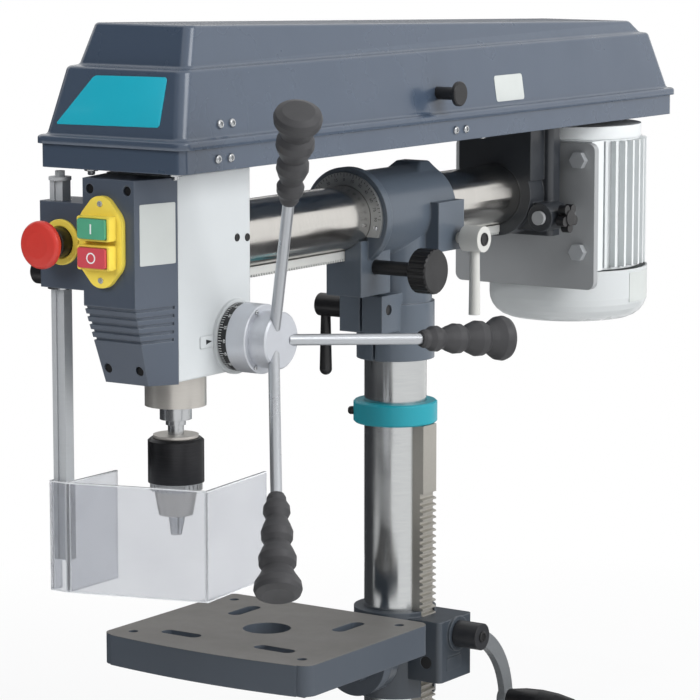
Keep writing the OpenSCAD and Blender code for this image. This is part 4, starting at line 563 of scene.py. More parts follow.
class Workshop:
    """Keeps one material for each finish and hands finished meshes to their bodies."""

    def __init__(self) -> None:
        """Starts with no materials made."""
        self.made: dict[str, bpy.types.Material] = {}

    def material(self, finish: Finish) -> bpy.types.Material:
        """The material of a finish, made the first time it is asked for."""
        if finish.name not in self.made:
            self.made[finish.name] = finish.build()
        return self.made[finish.name]

    def paint_nodes(self) -> None:
        """Gives every solid of the frame its finish."""
        for name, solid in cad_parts.items():
            solid.data.materials.clear()
            solid.data.materials.append(self.material(NODE_FINISH[name]))
            LOG.info("solid %s wears %s", name, NODE_FINISH[name].name)

    def hand_in(
        self,
        name: str,
        bm: bmesh.types.BMesh,
        finish: Finish,
        body: Body,
        slot: str,
        instead: Sequence[str] = (),
        sharp_deg: float = 32.0,
    ) -> bpy.types.Object:
        """Turns a mesh in millimetres into a piece that rides on its body.

        Args:
            name: the piece's name.
            bm: its mesh in millimetres; it is freed here.
            finish: what it wears.
            body: the body that carries it.
            slot: the record's material slot; not used.
            instead: the solids that it stands for.
            sharp_deg: edges that turn more than this stay crisp.

        Returns:
            The new object.
        """
        bmesh.ops.remove_doubles(bm, verts=bm.verts[:], dist=0.001)
        bmesh.ops.recalc_face_normals(bm, faces=bm.faces[:])
        for face in bm.faces:
            face.smooth = True
        for edge in bm.edges:
            edge.smooth = edge.calc_face_angle(0.0) < math.radians(sharp_deg)
        bmesh.ops.scale(bm, verts=bm.verts[:], vec=(MM, MM, MM))
        mesh = bpy.data.meshes.new(name)
        bm.to_mesh(mesh)
        bm.free()
        piece = put_in_scene(name, mesh)
        mesh.materials.append(self.material(finish))
        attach(piece, body.value)
        if instead:
            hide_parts(*instead)
        LOG.info("piece %s rides on %s", name, body.value)
        return piece

    def draw(
        self,
        name: str,
        finish: Finish,
        body: Body,
        slot: str,
        tool: Callable[..., Any],
        *sizes: Any,
        instead: Sequence[str] = (),
    ) -> None:
        """Draws a piece with one tool and hands it in.

        Args:
            name: the piece's name.
            finish: what it wears.
            body: the body that carries it.
            slot: the record's material slot.
            tool: the function that adds its shape to a mesh.
            sizes: what the tool is given after the mesh.
            instead: the solids that it stands for.
        """
        bm = bmesh.new()
        tool(bm, *sizes)
        self.hand_in(name, bm, finish, body, slot, instead)


def solid_copy(node: str) -> bmesh.types.BMesh:
    """Copies a solid's mesh in millimetres, with its flat faces whole again.

    Args:
        node: the solid's name.

    Returns:
        The copy.
    """
    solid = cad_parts[node]
    bm = bmesh.new()
    bm.from_mesh(solid.data)
    bmesh.ops.transform(bm, matrix=Matrix.Scale(1 / MM, 4) @ solid.matrix_world, verts=bm.verts[:])
    bmesh.ops.remove_doubles(bm, verts=bm.verts[:], dist=0.002)
    bmesh.ops.dissolve_limit(bm, angle_limit=math.radians(0.4), verts=bm.verts[:],
                             edges=bm.edges[:])
    return bm


def facing(point: Sequence[float], normal: Sequence[float], up: Sequence[float] = UP) -> Matrix:
    """The place of a piece drawn flat with +Z outwards and +Y up.

    Args:
        point: where its origin goes, in millimetres.
        normal: the way its face looks.
        up: what is upwards on the face.

    Returns:
        The matrix from the drawing to the machine.
    """
    out = Vector(normal).normalized()
    side = Vector(up).cross(out).normalized()
    top = out.cross(side)
    turn = Matrix((side, top, out)).transposed().to_4x4()
    return Matrix.Translation(Vector(point)) @ turn


def block(half_wide: float, half_high: float) -> Flat:
    """The four corners of an upright rectangle about the drawing's middle."""
    return [(-half_wide, -half_high), (half_wide, -half_high), (half_wide, half_high),
            (-half_wide, half_high)]


def round_off(
    bm: bmesh.types.BMesh,
    geom: Sequence[Any],
    offset: float,
    segments: int,
    affect: str = "EDGES",
    clamp: bool = False,
) -> dict[str, Any]:
    """Rounds edges or corners.

    Args:
        bm: the mesh.
        geom: the edges or vertices.
        offset: how far the rounding reaches.
        segments: its number of facets.
        affect: whether edges or vertices are rounded.
        clamp: whether roundings stop where they would meet.

    Returns:
        What the bevel made.
    """
    return bmesh.ops.bevel(bm, geom=geom, offset=offset, offset_type="OFFSET", segments=segments,
                           profile=0.5, affect=affect, clamp_overlap=clamp, material=-1)


def add_plate(
    bm: bmesh.types.BMesh,
    corners: Flat,
    place: Matrix,
    thick: float,
    round_by: float,
    soften: float = 0.0,
) -> None:
    """Adds a flat plate with rounded corners.

    Args:
        bm: the mesh that gets it.
        corners: the outline on the flat.
        place: where it goes.
        thick: how far it stands out.
        round_by: the corner radius.
        soften: the bevel on its front edge, or 0.
    """
    verts = [bm.verts.new((x, y, 0.0)) for x, y in corners]
    face = bm.faces.new(verts)
    if round_by:
        known = set(bm.faces) - {face}
        round_off(bm, verts, round_by, 5, "VERTICES")
        face = next(f for f in bm.faces if f not in known)
    out = bmesh.ops.extrude_face_region(bm, geom=[face])
    top = [g for g in out["geom"] if isinstance(g, bmesh.types.BMVert)]
    front = next(g for g in out["geom"] if isinstance(g, bmesh.types.BMFace))
    every = list(top) + list(face.verts)
    bmesh.ops.translate(bm, verts=top, vec=(0, 0, thick))
    if soften:
        rim = round_off(bm, list(front.edges), soften, 2)
        every = list({*every, *rim["verts"]})
    bmesh.ops.transform(bm, matrix=place, verts=[v for v in every if v.is_valid])


def add_turned(bm: bmesh.types.BMesh, profile: Flat, place: Matrix, steps: int = 32) -> None:
    """Adds a turned piece from half its section, spun about the drawing's Z.

    Args:
        bm: the mesh that gets it.
        profile: radius and height along the section.
        place: where it goes.
        steps: the number of facets round it.
    """
    known = set(bm.verts)
    verts = [bm.verts.new((r, 0.0, h)) for r, h in profile]
    edges = [bm.edges.new(pair) for pair in zip(verts, verts[1:])]
    bmesh.ops.spin(bm, geom=verts + edges, cent=(0, 0, 0), axis=UP, angle=2 * math.pi, steps=steps,
                   use_merge=True)
    bmesh.ops.remove_doubles(bm, verts=[v for v in bm.verts if v not in known], dist=0.0005)
    bmesh.ops.transform(bm, matrix=place, verts=[v for v in bm.verts if v not in known])


def add_prism(bm: bmesh.types.BMesh, sides: int, radius: float,
              height: float) -> bmesh.types.BMFace:
    """Adds an upright prism that stands on the drawing's plane.

    Args:
        bm: the mesh that gets it.
        sides: the number of its sides.
        radius: its radius over the corners.
        height: its height.

    Returns:
        Its top face.
    """
    known = set(bm.verts)
    bmesh.ops.create_cone(bm, cap_ends=True, segments=sides, radius1=radius, radius2=radius,
                          depth=height, matrix=Matrix.Translation((0, 0, height / 2)))
    return next(f for f in bm.faces
                if all(v not in known and v.co.z > height * 0.9 for v in f.verts))


def add_socket_screws(
    bm: bmesh.types.BMesh, places: Iterable[Matrix], radius: float, height: float
) -> None:
    """Adds domed screw heads with six-sided sockets.

    Args:
        bm: the mesh that gets them.
        places: where they go, with +Z outwards.
        radius: the head's radius.
        height: the head's height.
    """
    dome_share, rim_share, socket_share, depth_share = 0.55, 0.16, 0.05, 0.6
    for place in places:
        known = set(bm.verts)
        top = add_prism(bm, 24, radius, height)
        round_off(bm, list(top.edges), height * dome_share, 4)
        fresh = [f for f in bm.faces if all(v not in known for v in f.verts)]
        top = max(fresh, key=lambda f: f.calc_center_median().z)
        bmesh.ops.inset_region(bm, faces=[top], thickness=radius * rim_share, depth=0.0)
        bmesh.ops.inset_region(bm, faces=[top], thickness=radius * socket_share,
                               depth=-height * depth_share)
        bmesh.ops.transform(bm, matrix=place, verts=[v for v in bm.verts if v not in known])


def add_nut(bm: bmesh.types.BMesh, place: Matrix, radius: float, height: float,
            stud: float) -> None:
    """Adds a six-sided nut with its stud end standing through it.

    Args:
        bm: the mesh that gets it.
        place: where it goes, with +Z outwards.
        radius: the nut's radius over its corners.
        height: the nut's height.
        stud: how far the stud stands out.
    """
    known = set(bm.verts)
    round_off(bm, list(add_prism(bm, 6, radius, height).edges), height * 0.15, 2)
    bmesh.ops.transform(bm, matrix=place, verts=[v for v in bm.verts if v not in known])
    thread, tip, end, sunk, chamfer = radius * 0.52, radius * 0.42, height + stud, 0.2, 0.6
    add_turned(bm, [(0, sunk), (thread, sunk), (thread, end - chamfer), (tip, end), (0, end)],
               place, 20)


def add_figure(bm: bmesh.types.BMesh, words: str, high: float, place: Matrix) -> None:
    """Adds a number as a thin raised mesh.

    Args:
        bm: the mesh that gets it.
        words: the figure.
        high: its height.
        place: where its middle goes, with +Z outwards and +Y up.
    """
    font_share, raised = 1.38, 0.06
    curve = bpy.data.curves.new("figure_outline", "FONT")
    curve.body = words
    curve.size = high * font_share
    curve.align_x = "CENTER"
    curve.align_y = "CENTER"
    curve.extrude = raised
    curve.resolution_u = 3
    holder = bpy.data.objects.new("figure_outline", curve)
    known = set(bm.verts)
    bm.from_mesh(holder.to_mesh())
    holder.to_mesh_clear()
    bmesh.ops.transform(bm, matrix=place, verts=[v for v in bm.verts if v not in known])
    bpy.data.objects.remove(holder)
    bpy.data.curves.remove(curve)


def add_tick(bm: bmesh.types.BMesh, place: Matrix, wide: float, long: float,
             thick: float = 0.12) -> None:
    """Adds one graduation line.

    Args:
        bm: the mesh that gets it.
        place: where its middle goes, with +Z outwards and its length along Y.
        wide: its width.
        long: its length.
        thick: how far it stands out.
    """
    made = bmesh.ops.create_cube(bm, size=1.0)
    bmesh.ops.scale(bm, vec=(wide, long, thick), verts=made["verts"])
    bmesh.ops.transform(bm, matrix=place, verts=made["verts"])


@dataclass
class BeltCover:
    """The long belt lid with its two tiers, its rim, its screws and its bare plates.

    An outline of the lid is its half width, its front, its rear and its corner radius.
    """

    shop: Workshop
    rim: Plan = (80.5, -442.0, 414.0, 12.0)
    foot: Plan = (74.0, -435.5, 407.5, 10.0)
    ledge: Plan = (65.0, -419.0, 383.0, 11.0)
    step: Plan = (59.5, -408.0, 373.0, 9.0)
    crown: Plan = (52.5, -394.0, 363.0, 9.0)
    rim_low: float = 90.1
    rim_high: float = 96.8
    rim_draft: float = 0.8
    tier: float = 155.3
    tier_half: float = 0.6
    crown_front: float = 191.3
    crown_rear: float = 167.3
    wall: float = 2.5
    fold: float = 2.4
    hinge_x: float = -84.5
    hinge_r: float = 3.5
    hinge_bore: float = 1.6
    hinge_soft: float = 0.4
    hinge_l: float = 24.0
    hinge_gap: float = 0.3
    hinge_y: Pair = (-230.0, 190.0)
    leaf_wide: float = 5.5
    leaf_skin: Skin = (1.4, 0.8, 0.0)
    leaf_in: float = 1.8
    leaf_up: float = 2.0
    leaf_end: float = 1.0
    crisp_deg: float = 24.0
    front_plate: Flat = ((-55.5, -22.0), (55.0, -20.5), (55.0, 22.5), (-22.0, 21.5))
    front_plate_at: Pair = (-6.0, 127.5)
    front_plate_skin: Skin = (0.7, 3.0, 0.25)
    side_plate_half: Pair = (25.5, 12.5)
    side_plate_at: Pair = (89.0, 114.0)
    side_plate_skin: Skin = (0.5, 3.0, 0.15)
    screw: Head = (3.9, 2.6)
    lid_screw_y: Pair = (-380.0, -363.0)
    lid_screw_r: float = 108.5
    pan_screw_y: Pair = (-389.0, -371.0)
    mid_screw_y: Pair = (-15.5, 2.0)
    pan_x: float = 76.5
    pan_screw_r: float = 80.0
    pan_under: float = 69.8
    nut: Spot = (6.2, 4.6, 3.4)
    nut_spots: Flat = ((45.0, -406.0), (-45.0, -406.0), (30.0, 108.0), (-30.0, 108.0))

    def level(self, bm: bmesh.types.BMesh, plan: Plan, z: float,
              fall: float = 0.0) -> list[bmesh.types.BMEdge]:
        """Adds one rounded outline of the lid.

        Args:
            bm: the lid's mesh.
            plan: half width, front, rear and corner radius.
            z: height at the front, above the arm's axis.
            fall: how much lower the rear end is.

        Returns:
            The outline's edges.
        """
        half, front, rear, corner = plan
        known_edges, known_verts = set(bm.edges), set(bm.verts)
        made = bmesh.ops.create_grid(bm, x_segments=1, y_segments=1, size=1.0)
        bmesh.ops.scale(bm, verts=made["verts"], vec=(half, (rear - front) / 2, 1.0))
        round_off(bm, made["verts"], corner, 7, "VERTICES")
        verts = [v for v in bm.verts if v not in known_verts]
        slope = -fall / (rear - front)
        lean = Matrix(((1, 0, 0, 0), (0, 1, 0, 0), (0, slope, 1, 0), (0, 0, 0, 1)))
        bmesh.ops.transform(bm, matrix=lean, verts=verts)
        bmesh.ops.translate(bm, verts=verts, vec=(0, (front + rear) / 2, ARM_H + z - fall / 2))
        bmesh.ops.delete(bm, geom=[f for f in bm.faces if any(v in set(verts) for v in f.verts)],
                         context="FACES_ONLY")
        return [e for e in bm.edges if e not in known_edges]

    def shell(self) -> None:
        """Builds the lid as one pressed shell with soft folds."""
        bm = bmesh.new()
        loops = [
            self.level(bm, self.rim, self.rim_low),
            self.level(bm, self.rim, self.rim_high),
            self.level(bm, self.foot, self.rim_high + self.rim_draft),
            self.level(bm, self.ledge, self.tier - self.tier_half),
            self.level(bm, self.step, self.tier + self.tier_half),
            self.level(bm, self.crown, self.crown_front, self.crown_front - self.crown_rear),
        ]
        for low, high in zip(loops, loops[1:]):
            bmesh.ops.bridge_loops(bm, edges=low + high)
        bmesh.ops.contextual_create(bm, geom=loops[-1])
        bmesh.ops.recalc_face_normals(bm, faces=bm.faces[:])
        round_off(bm, [e for loop in loops[1:] for e in loop], self.fold, 4, clamp=True)
        lid = self.shop.hand_in("pressed_lid", bm, SLATE, Body.LID, "slate_paint", ["belt_lid"],
                                self.crisp_deg)
        wall = lid.modifiers.new("sheet", "SOLIDIFY")
        wall.thickness = self.wall * MM
        wall.offset = -1.0
        flow = lid.modifiers.new("even_light", "WEIGHTED_NORMAL")
        flow.keep_sharp = True

    def hinges(self) -> None:
        """Builds the lid's hinge barrels with their leaves."""
        bm = bmesh.new()
        bore, r, soft = self.hinge_bore, self.hinge_r, self.hinge_soft
        for y in self.hinge_y:
            low = y - self.hinge_l / 2 + self.hinge_gap
            high = y + self.hinge_l / 2 - self.hinge_gap
            long = high - low
            place = facing((self.hinge_x, high, ARM_H + self.rim_low), FRONT)
            add_turned(bm, [(bore, 0), (r - soft, 0), (r, soft), (r, long - soft), (r - soft, long),
                            (bore, long), (bore, 0)], place, 28)
            leaf_z = ARM_H + self.rim_low + self.leaf_up
            leaf = facing((self.hinge_x + self.leaf_in, (low + high) / 2, leaf_z), UP, REAR)
            wide, near, far = self.leaf_wide, low - y + self.leaf_end, high - y - self.leaf_end
            add_plate(bm, [(0, near), (wide, near), (wide, far), (0, far)], leaf, *self.leaf_skin)
        self.shop.hand_in("lid_hinge_barrels", bm, SLATE, Body.LID, "slate_paint")

    def slant(self, which: int, r: float) -> tuple[float, float]:
        """Where a slanted face of the lid's lower tier stands at a height, and how far it leans.

        Args:
            which: the entry of the outlines that the face follows.
            r: the height above the arm's axis.

        Returns:
            The face's place, and its run for each millimetre of rise.
        """
        lean = (self.ledge[which] - self.foot[which]) / (self.tier - self.rim_high)
        return self.foot[which] + lean * (r - self.rim_high), lean

    def on_side(self, y: float, r: float) -> Matrix:
        """A place on the lid's right face, by its run and its height above the arm's axis."""
        x, lean = self.slant(0, r)
        return facing((x, y, ARM_H + r), (1, 0, -lean))

    def on_front(self, x: float, r: float) -> Matrix:
        """A place on the lid's front face, by its x and its height above the arm's axis."""
        y, lean = self.slant(1, r)
        return facing((x, y, ARM_H + r), (0, -1, lean))

    def plates(self) -> None:
        """Builds the bare teal plate in front and the bare white plate on the side."""
        self.shop.draw("front_plate_bare", TEAL_PLATE, Body.LID, "teal_paint", add_plate,
                       self.front_plate,
                       self.on_front(*self.front_plate_at), *self.front_plate_skin)
        self.shop.draw("side_plate_bare", LABEL_WHITE, Body.LID, "pale_paint", add_plate,
                       block(*self.side_plate_half), self.on_side(*self.side_plate_at),
                       *self.side_plate_skin)

    def screws(self) -> None:
        """Builds the screw heads on the lid, on the pan and below the pan."""
        self.shop.draw("lid_screw_heads", BRIGHT, Body.LID, "bright_steel", add_socket_screws,
                       [self.on_side(y, self.lid_screw_r) for y in self.lid_screw_y], *self.screw)
        bm = bmesh.new()
        high = ARM_H + self.pan_screw_r
        places = [facing((self.pan_x, y, high), RIGHT)
                  for y in (*self.pan_screw_y, *self.mid_screw_y)]
        places += [facing((-self.pan_x, y, high), LEFT) for y in self.pan_screw_y]
        add_socket_screws(bm, places, *self.screw)
        for x, y in self.nut_spots:
            add_nut(bm, facing((x, y, ARM_H + self.pan_under), DOWN, REAR), *self.nut)
        self.shop.hand_in("pan_fasteners", bm, BRIGHT, Body.RAM, "bright_steel")

    def build(self) -> None:
        """Builds the whole cover."""
        self.shell()
        self.hinges()
        self.plates()
        self.screws()


@dataclass
class DrillHead:
    """What is printed, screwed or stuck on the head, its cover, its buttons and its feed."""

    shop: Workshop
    side_x: float = 38.0
    cover_front: float = -440.0
    cover_half: float = 27.5
    cover_back: float = -394.0
    feed_y: float = -312.7
    feed_z: float = 594.0
    ring_x: float = 41.3
    ring_r: float = 30.0
    ring_marks: int = 80
    ring_figures: int = 16
    figure_step: int = 5
    tick_wide: float = 0.42
    tick_long: Pair = (2.8, 4.4)
    tick_from: float = 0.4
    figure_high: float = 2.5
    figure_at: float = 6.6
    lift: float = 0.02
    hub_x: float = 70.2
    hub_screw_r: float = 27.6
    hub_screw: Head = (2.1, 1.6)
    hub_turns: Spot = (2.05, 4.15, 6.25)
    stop_x: float = -50.5
    stop_r: float = 7.0
    stop_out: float = 19.6
    stop_in: float = 13.4
    stop_high: float = 3.0
    stop_lip: float = 1.0
    stop_foot: float = 0.4
    neck_r: float = 13.2
    neck_bore: float = 5.2
    neck_high: float = 15.0
    turned_soft: float = 0.8
    switch_x: float = -5.0
    switch_face: float = -445.0
    switch_screw: Head = (2.6, 1.2)
    switch_screw_r: Pair = (42.5, -22.5)
    plate_round: float = 5.5
    kink: float = 45.0
    foot: float = 114.0
    foot_half: float = 23.0
    tuck: float = 23.0
    rib_top: float = 46.0
    rib_count: int = 5
    solid_rib: Pair = (10.5, 3.0)
    drawn_rib: Pair = (6.95, 2.6)
    rib_end: float = 96.5
    kink_band: float = 1.5
    fine_cut: float = 4.6
    crisp_deg: float = 12.0
    label_half: Pair = (19.5, 26.0)
    label_up: float = 16.5
    label_share: float = 0.53
    label_skin: Skin = (0.4, 1.2, 0.12)
    set_screw: Head = (3.5, 0.7)
    set_screw_at: Flat = ((-309.0, 4.2), (-294.0, 3.0))
    set_screw_proud: float = 0.05
    stroke_half: Pair = (0.7, 4.2)
    stroke_skin: Skin = (0.2, 0.3, 0.0)
    mark_ring: Flat = ((3.6, -0.1), (4.7, -0.1), (4.7, 0.2), (3.6, 0.2), (3.6, -0.1))
    pointer_y: float = -42.0
    pointer_pad: Flat = ((-9.5, -5.5), (9.0, -5.5), (9.0, 5.5), (-9.5, 5.5))
    pointer_arrow: Flat = ((-1.5, -2.2), (6.8, 0.0), (-1.5, 2.2))
    pad_skin: Skin = (1.0, 1.5, 0.3)
    arrow_skin: Skin = (0.15, 0.0, 0.0)

    def skirt_share(self, drop: float) -> float:
        """How far down the cover's slanted skirt a height below the ram's axis lies."""
        return (drop - self.kink) / (self.foot - self.kink)

    def skirt_front(self, drop: float) -> float:
        """Where the skirt's front face stands at a height below the ram's axis."""
        return self.cover_front + self.tuck * self.skirt_share(drop)

    def skirt_half(self, y: float, drop: float) -> float:
        """Half the solid skirt's width, whose side is folded along a diagonal."""
        ahead = y - self.cover_front
        deep = self.cover_back - self.cover_front
        plain = self.cover_half + (self.side_x - self.cover_half) * ahead / deep
        lean = (self.side_x - self.foot_half) / (deep - self.tuck)
        drawn_in = self.cover_half - self.foot_half + lean * self.tuck
        return min(plain, self.cover_half + lean * ahead - drawn_in * self.skirt_share(drop))

    def drawn_drop(self, drop: float) -> float:
        """Moves a height on the solid's ribs to its place on the closer ribs of the photograph."""
        ends = [[self.kink], [self.kink]]
        for rib, (pitch, high) in zip(ends, (self.solid_rib, self.drawn_rib)):
            for i in range(self.rib_count):
                rib += [self.rib_top + i * pitch, self.rib_top + i * pitch + high]
            rib += [self.rib_end, self.foot]
        for a, b, c, d in zip(ends[0], ends[0][1:], ends[1], ends[1][1:]):
            if drop <= b:
                return c + (drop - a) * (d - c) / (b - a)
        return drop

    def moulded_cover(self) -> None:
        """Builds the cover again with a smooth skirt and the closer ribs of the photograph."""
        bm = solid_copy("front_cover")
        skirt = ARM_H - self.kink
        for z in (skirt + self.kink_band, skirt):
            bmesh.ops.bisect_plane(bm, geom=bm.verts[:] + bm.edges[:] + bm.faces[:], dist=0.001,
                                   plane_co=(0, 0, z), plane_no=UP)
        cuts = [((0, 0, skirt - self.fine_cut * i), UP) for i in range(1, 15)]
        cuts += [((0, self.cover_front + self.fine_cut * i, 0), REAR) for i in range(1, 10)]
        for spot, way in cuts:
            low = [f for f in bm.faces if f.calc_center_median().z < skirt]
            edges = list(dict.fromkeys(e for f in low for e in f.edges))
            verts = list(dict.fromkeys(v for f in low for v in f.verts))
            bmesh.ops.bisect_plane(bm, geom=verts + edges + low, dist=0.001, plane_co=spot,
                                   plane_no=way)
        for v in bm.verts:
            drop = ARM_H - v.co.z
            if drop <= self.kink:
                continue
            solid_front = self.skirt_front(drop)
            back = (v.co.y - solid_front) / (self.cover_back - solid_front)
            lower = self.drawn_drop(drop)
            front = self.skirt_front(lower)
            half = self.cover_half + (self.foot_half - self.cover_half) * self.skirt_share(lower)
            wide = (half + (self.side_x - half) * back) / self.skirt_half(v.co.y, drop)
            v.co = (v.co.x * wide, front + back * (self.cover_back - front), ARM_H - lower)
        self.shop.hand_in("moulded_cover", bm, DARK_COVER, Body.RAM, "dark_cover", ["front_cover"],
                          self.crisp_deg)

    def rounded_plate(self) -> None:
        """Builds the switch plate again with its corners rounded."""
        bm = solid_copy("switch_plate")
        thick = self.cover_front - self.switch_face
        corners = [e for e in bm.edges if abs(e.verts[0].co.y - e.verts[1].co.y) > 0.8 * thick
                   and max(v.co.y for v in e.verts) > self.cover_front - 0.1]
        round_off(bm, corners, self.plate_round, 5, clamp=True)
        self.shop.hand_in("rounded_switch_plate", bm, YELLOW, Body.RAM, "yellow_plastic",
                          ["switch_plate"])

    def stop_ring(self) -> None:
        """Builds the stop button's narrow yellow ring and its black neck."""
        place = facing((self.stop_x, self.cover_front, ARM_H + self.stop_r), FRONT)
        out, bore, high = self.stop_out, self.stop_in, self.stop_high
        foot, soft = self.stop_foot, self.turned_soft
        ring = [(bore, 0), (out - foot, 0), (out, foot), (out, high - soft), (out - soft, high),
                (bore + self.stop_lip, high), (bore, high - soft), (bore, 0)]
        self.shop.draw("stop_ring", YELLOW, Body.RAM, "yellow_plastic", add_turned, ring, place, 48,
                       instead=["estop_base"])
        out, bore, high = self.neck_r, self.neck_bore, self.neck_high
        neck = [(bore, 0), (out, 0), (out, high - soft), (out - soft, high), (bore, high),
                (bore, 0)]
        self.shop.draw("stop_neck", BLACK, Body.RAM, "black_plastic", add_turned, neck, place, 40)

    def switch_screws(self) -> None:
        """Builds the two screws that hold the switch plate."""
        places = [facing((self.switch_x, self.switch_face, ARM_H + r), FRONT)
                  for r in self.switch_screw_r]
        self.shop.draw("switch_screws", PLATED, Body.RAM, "bright_steel", add_socket_screws, places,
                       *self.switch_screw)

    def label(self) -> None:
        """Builds the bare white plate on the cover's slanted right side."""
        run = Vector((self.side_x - self.cover_half, self.cover_back - self.cover_front, 0))
        middle = (Vector((self.cover_half, self.cover_front, ARM_H + self.label_up))
                  + run * self.label_share)
        out = Vector((run.y, -run.x, 0)).normalized()
        self.shop.draw("cover_plate_bare", LABEL_WHITE, Body.RAM, "pale_paint", add_plate,
                       block(*self.label_half), facing(middle, out), *self.label_skin)

    def pointer(self) -> None:
        """Builds the depth pointer's pad with its arrow on the head's side."""
        y, z = self.feed_y + self.pointer_y, self.feed_z
        self.shop.draw("pointer_pad", PALE, Body.RAM, "pale_paint", add_plate, self.pointer_pad,
                       facing((self.side_x, y, z), RIGHT), *self.pad_skin)
        self.shop.draw("pointer_arrow", INK_BLACK, Body.RAM, "black_plastic", add_plate,
                       self.pointer_arrow,
                       facing((self.side_x + self.pad_skin[0], y, z), RIGHT), *self.arrow_skin)

    def set_screws(self) -> None:
        """Builds the two set screws sunk in the head's side."""
        x = self.side_x + self.set_screw_proud
        places = [facing((x, y, ARM_H + r), RIGHT) for y, r in self.set_screw_at]
        self.shop.draw("head_set_screws", BLACK_STEEL, Body.RAM, "black_steel", add_socket_screws,
                       places, *self.set_screw)

    def button_marks(self) -> None:
        """Builds the stroke on the start button and the ring on the stop button."""
        stroke = (add_plate, block(*self.stroke_half), self.stroke_skin)
        ring = (add_turned, self.mark_ring, (40,))
        for node, body, name, (tool, shape, sizes) in (
            ("start_button", Body.START, "start_mark", stroke),
            ("stop_button", Body.STOP, "stop_mark", ring),
        ):
            low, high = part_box(node)
            middle = (low + high) / 2 / MM
            place = facing((middle.x, low.y / MM - self.lift, middle.z), FRONT)
            self.shop.draw(name, INK_WHITE, body, "pale_paint", tool, shape, place, *sizes)

    def on_ring(self, share: float, along: float, lift: float = 0.0) -> Matrix:
        """A place on the depth ring, by its share of a turn and its place along the axis."""
        turn = 2 * math.pi * share
        out = Vector((0, math.cos(turn), math.sin(turn)))
        middle = Vector((self.ring_x + along, self.feed_y, self.feed_z))
        return facing(middle + out * (self.ring_r + lift), out, RIGHT)

    def depth_marks(self) -> None:
        """Builds the graduations and figures round the depth ring."""
        bm = bmesh.new()
        for i in range(self.ring_marks):
            long = self.tick_long[i % self.figure_step == 0]
            add_tick(bm, self.on_ring(i / self.ring_marks, self.tick_from + long / 2),
                     self.tick_wide, long)
        for i in range(self.ring_figures):
            place = self.on_ring(i / self.ring_figures, self.figure_at, self.lift)
            add_figure(bm, str(i * self.figure_step), self.figure_high, place)
        self.shop.hand_in("depth_marks", bm, INK_WHITE, Body.DEPTH, "pale_paint")

    def hub_screws(self) -> None:
        """Builds the clamp screws on the feed hub's shoulder."""
        r, y, z = self.hub_screw_r, self.feed_y, self.feed_z
        places = [facing((self.hub_x, y + r * math.cos(turn), z + r * math.sin(turn)), RIGHT)
                  for turn in self.hub_turns]
        self.shop.draw("hub_screws", BRIGHT, Body.FEED, "bright_steel", add_socket_screws, places,
                       *self.hub_screw)

    def build(self) -> None:
        """Builds everything on the head."""
        self.moulded_cover()
        self.rounded_plate()
        self.stop_ring()
        self.switch_screws()
        self.label()
        self.pointer()
        self.set_screws()
        self.button_marks()
        self.depth_marks()
        self.hub_screws()


@dataclass
class ArmDress:
    """The cast hump on the arm support, the lock lever's screw and the scale on the front face."""

    shop: Workshop
    face_y: float = -88.0
    outer_r: float = 42.0
    figure_r: float = 35.2
    figure_high: float = 3.0
    lift: float = 0.02
    tick_wide: float = 0.5
    tick_long: Pair = (2.2, 3.6)
    tick_in: float = 0.5
    screw_r: float = 36.4
    screw_turns: Pair = (-103.0, 103.0)
    screw: Head = (2.4, 1.6)
    saddle_top: float = 45.0
    saddle_front: float = 9.0
    saddle_round: float = 7.5
    saddle_taper: float = 0.7
    saddle_ramp: Pair = (12.0, 6.0)
    lever_end: Spot = (79.0, 33.0, -27.0)
    lever_screw: Head = (6.4, 1.3)

    def casting(self) -> None:
        """Builds the support again with the saddle on its sleeve rounded as a cast hump."""
        bm = solid_copy("arm_support")
        top = ARM_H + self.saddle_top
        high = {v for v in bm.verts
                if abs(v.co.z - top) < 0.02 and v.co.y > self.saddle_front - 0.1}
        middle = sum((v.co.y for v in high), 0.0) / len(high)
        for v in high:
            v.co.x *= self.saddle_taper
            v.co.y += self.saddle_ramp[0] if v.co.y < middle else -self.saddle_ramp[1]
        rim = [e for e in bm.edges if not high.isdisjoint(e.verts) and e.calc_face_angle(0.0) > 1.0]
        round_off(bm, rim, self.saddle_round, 7, clamp=True)
        self.shop.hand_in("cast_support", bm, DARK_CAST, Body.SUPPORT, "dark_paint",
                          ["arm_support"])

    def lever_socket(self) -> None:
        """Builds the socket screw in the lock lever's end."""
        x, y, r = self.lever_end
        self.shop.draw("lever_socket_screw", BLACK_STEEL, Body.ARM_LOCK, "black_steel",
                       add_socket_screws, [facing((x, y, ARM_H + r), RIGHT)], *self.lever_screw)

    def at(self, degrees: float, radius: float, lift: float = 0.0) -> Matrix:
        """A place on the scale's face, by its angle from upright and its radius."""
        turn = math.radians(degrees)
        out = Vector((math.sin(turn), 0, math.cos(turn)))
        spot = Vector((0, self.face_y - lift, ARM_H)) + out * radius
        return facing(spot, FRONT, out)

    def scale(self) -> None:
        """Builds the graduations, the figures and the two screws of the scale."""
        bm = bmesh.new()
        for degrees in range(-90, 91, 5):
            long = self.tick_long[degrees % 15 == 0]
            add_tick(bm, self.at(degrees, self.outer_r - self.tick_in - long / 2), self.tick_wide,
                     long)
        for degrees in range(-90, 91, 15):
            add_figure(bm, str(abs(degrees)), self.figure_high,
                       self.at(degrees, self.figure_r, self.lift))
        self.shop.hand_in("angle_marks", bm, INK_BLACK, Body.SUPPORT, "black_plastic")
        self.shop.draw("scale_screws", BRIGHT, Body.SUPPORT, "bright_steel", add_socket_screws,
                       [self.at(degrees, self.screw_r) for degrees in self.screw_turns],
                       *self.screw)

    def build(self) -> None:
        """Builds everything on the arm."""
        self.casting()
        self.lever_socket()
        self.scale()


